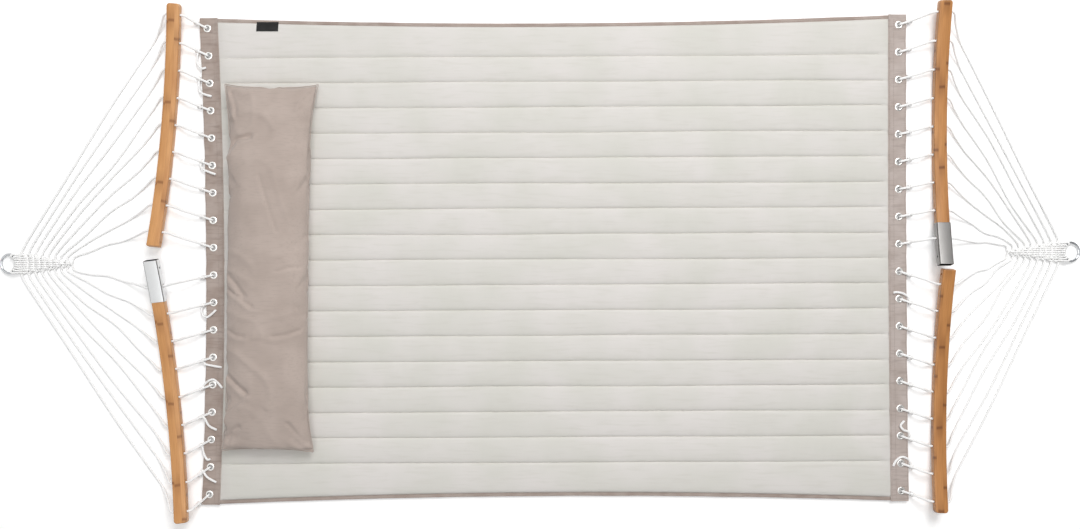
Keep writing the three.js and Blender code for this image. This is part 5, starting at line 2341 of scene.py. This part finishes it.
@dataclass(frozen=True)
class Studio:
    """A pale floor, soft light and the camera straight above the middle."""

    camera_height: float = 2.65
    lens: float = 30.92
    sensor: float = 36.0
    floor_size: float = 4.8
    sky: float = 0.34
    horizon: float = 0.16  # how bright the room's walls look in polished metal
    dim_side: float = 0.42  # how bright the sky over the right end looks in it
    panel_size: float = 2.4
    key: float = 171.0
    key_place: tuple[float, float, float] = (1.3, 3.2, 4.6)
    fill: float = 63.0
    fill_place: tuple[float, float, float] = (-0.4, 0.0, 4.6)
    floor_tone: float = 1.15
    floor_glow: float = 0.05
    floor_drop: float = 0.4 * MM
    fade_start: float = 1.7
    fade_end: float = 2.3

    def build(self) -> None:
        """Make the floor, the light and the camera."""
        self._floor()
        self._light()
        self._camera()
        bpy.context.scene.view_settings.view_transform = "Standard"

    @staticmethod
    def _seen(tree: NodeTree) -> tuple[Node, Node]:
        """Tell the rays that show the room from the rays that light the hammock.

        Args:
            tree: The node tree.

        Returns:
            The Light Path node, and a node that gives 1 where the camera sees, also by a
            reflection or through something clear.
        """
        rays = add_node(tree, "ShaderNodeLightPath")
        straight = {0: rays.outputs["Is Camera Ray"], 1: rays.outputs["Is Glossy Ray"]}
        direct = add_node(tree, MATH, straight, operation="MAXIMUM")
        through = {0: direct, 1: rays.outputs["Is Transmission Ray"]}
        return rays, add_node(tree, MATH, through, operation="MAXIMUM")

    def _floor(self) -> None:
        """A pale sheet that shows white to the camera but still takes soft shadows."""
        bm = bmesh.new()
        bmesh.ops.create_grid(bm, x_segments=2, y_segments=2, size=self.floor_size / 2)
        bmesh.ops.translate(bm, vec=(0, 0, -self.floor_drop), verts=bm.verts)
        # Matt paper: no gloss at all, so that only the hammock's shadow shows on it
        constants = {"Base Color": srgb("#efefef"), "Roughness": 0.95, "Specular IOR Level": 0.0}
        material, tree, shader = start_material("white_studio_paper", constants)
        tone = (self.floor_tone, self.floor_tone, self.floor_tone, 1.0)
        paper = add_node(tree, "ShaderNodeBsdfDiffuse", {"Color": tone})
        # The paper fades into the white of the room before its edge
        place = add_node(tree, COORDS).outputs["Object"]
        away = add_node(tree, "ShaderNodeVectorMath", {0: place}, operation="LENGTH").outputs["Value"]
        span = {0: away, 1: self.fade_start, 2: self.fade_end, 3: self.floor_glow, 4: 1.0}
        fade = add_node(tree, RANGE, span, interpolation_type="SMOOTHSTEP")
        glow = add_node(tree, "ShaderNodeEmission", {"Color": (1, 1, 1, 1), "Strength": fade})
        bright = add_node(tree, "ShaderNodeAddShader", {0: paper, 1: glow})
        mix = add_node(tree, "ShaderNodeMixShader", {0: self._seen(tree)[1], 1: shader, 2: bright})
        tree.links.new(mix.outputs[0], tree.nodes["Material Output"].inputs["Surface"])
        make_piece("studio_floor", bm, material)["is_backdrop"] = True

    def _light(self) -> None:
        """A white sky over darker walls, a broad soft panel at the upper right and one above."""
        world = bpy.data.worlds.new("soft_white_room")
        bpy.context.scene.world = world
        world.use_nodes = True
        tree = world.node_tree
        rays, seen = self._seen(tree)
        way = add_node(tree, SPLIT, {0: add_node(tree, COORDS).outputs["Generated"]})
        wall = add_node(tree, RANGE, {0: way.outputs[2], 1: 0.1, 2: 0.6, 3: self.horizon, 4: 1.0})
        side = add_node(tree, RANGE, {0: way.outputs[0], 1: -0.1, 2: 0.3, 3: 1.0, 4: self.dim_side})
        room = add_node(tree, MATH, {0: wall, 1: side}, operation="MULTIPLY")
        mirrored = add_node(tree, RANGE, {0: rays.outputs["Is Glossy Ray"], 3: 1.0, 4: room})
        strength = add_node(tree, RANGE, {0: seen, 1: 0.0, 2: 1.0, 3: self.sky, 4: mirrored})
        background = tree.nodes["Background"]
        background.inputs["Color"].default_value = (1.0, 1.0, 1.0, 1.0)
        tree.links.new(strength.outputs[0], background.inputs["Strength"])
        self._panel("key_light", self.key, Vector(self.key_place), Vector())
        above = Vector(self.fill_place)
        self._panel("fill_light", self.fill, above, Vector((above.x, above.y, 0.0)))

    def _panel(self, name: str, power: float, place: Vector, target: Vector) -> None:
        """Hang one square light panel.

        Args:
            name: The lamp's name.
            power: Its power in watts.
            place: Where it hangs.
            target: What it faces.
        """
        panel = bpy.data.lights.new(name, "AREA")
        panel.shape = "SQUARE"
        panel.size = self.panel_size
        panel.energy = power
        lamp = bpy.data.objects.new(name, panel)
        lamp.location = place
        lamp.rotation_euler = (target - place).to_track_quat("-Z", "Y").to_euler()
        lamp.visible_camera = False
        bpy.context.scene.collection.objects.link(lamp)

    def _camera(self) -> None:
        """The camera, straight down over the middle of the picture."""
        data = bpy.data.cameras.new("camera")
        data.lens = self.lens
        data.sensor_width = self.sensor
        camera = bpy.data.objects.new("camera", data)
        camera.location = Vector((0.0, 0.0, self.camera_height)) + ORIGIN_SHIFT
        bpy.context.scene.collection.objects.link(camera)
        bpy.context.scene.camera = camera


# Assembly

BAR_PLACES = {
    (End.LEFT, Half.FREE): BarPlace(0.1175, 0.050, 4.8),
    (End.LEFT, Half.FIXED): BarPlace(0.1225, 0.012, 6.6),
    (End.RIGHT, Half.FREE): BarPlace(0.0995, -0.013, 1.8),
    (End.RIGHT, Half.FIXED): BarPlace(0.0885, -0.001, 0.0),
}
# How far a ring's middle lies out from the bed, and its Y
RING_PLACES = {End.LEFT: (0.5435, 0.002), End.RIGHT: (0.4635, 0.036)}


@dataclass
class Hammock:
    """The whole hammock, built in order."""

    finishes: FinishBook = field(default_factory=FinishBook)

    def build(self) -> None:
        """Build every sub-assembly."""
        quilt = Quilt(self.finishes)
        quilt.build_body()
        quilt.build_stitches()
        for edge in Edge:
            quilt.build_binding(edge)
        quilt.build_label()
        Pillow(self.finishes).build()
        for end in End:
            self.build_end(end)

    def build_end(self, end: End) -> None:
        """Build the hem, bar, ring, clew and cords of one end.

        Args:
            end: The end.
        """
        hem = Hem(end, self.finishes)
        hem.build_strip()
        halves = {half: SpreaderHalf(end, half, BAR_PLACES[end, half], self.finishes) for half in Half}
        for half in halves.values():
            half.build_bar()
        halves[Half.FIXED].build_sleeve()
        rig = RingAndClew(end, *RING_PLACES[end], self.finishes)
        rig.build_ring()
        rig.build_loops()
        rig.build_clew()
        Lacing(end, hem, rig, halves, self.finishes).build()


def main() -> None:
    """Load the frame, set the studio up, dress the hammock and report each of its pieces."""
    logging.basicConfig(level=logging.INFO, format="%(message)s")
    for thing in list(bpy.data.objects):
        bpy.data.objects.remove(thing)
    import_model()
    Studio().build()
    Hammock().build()
    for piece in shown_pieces():
        LOG.info("%s: %d faces", piece.name, len(piece.data.polygons))


if __name__ == "__main__":
    main()
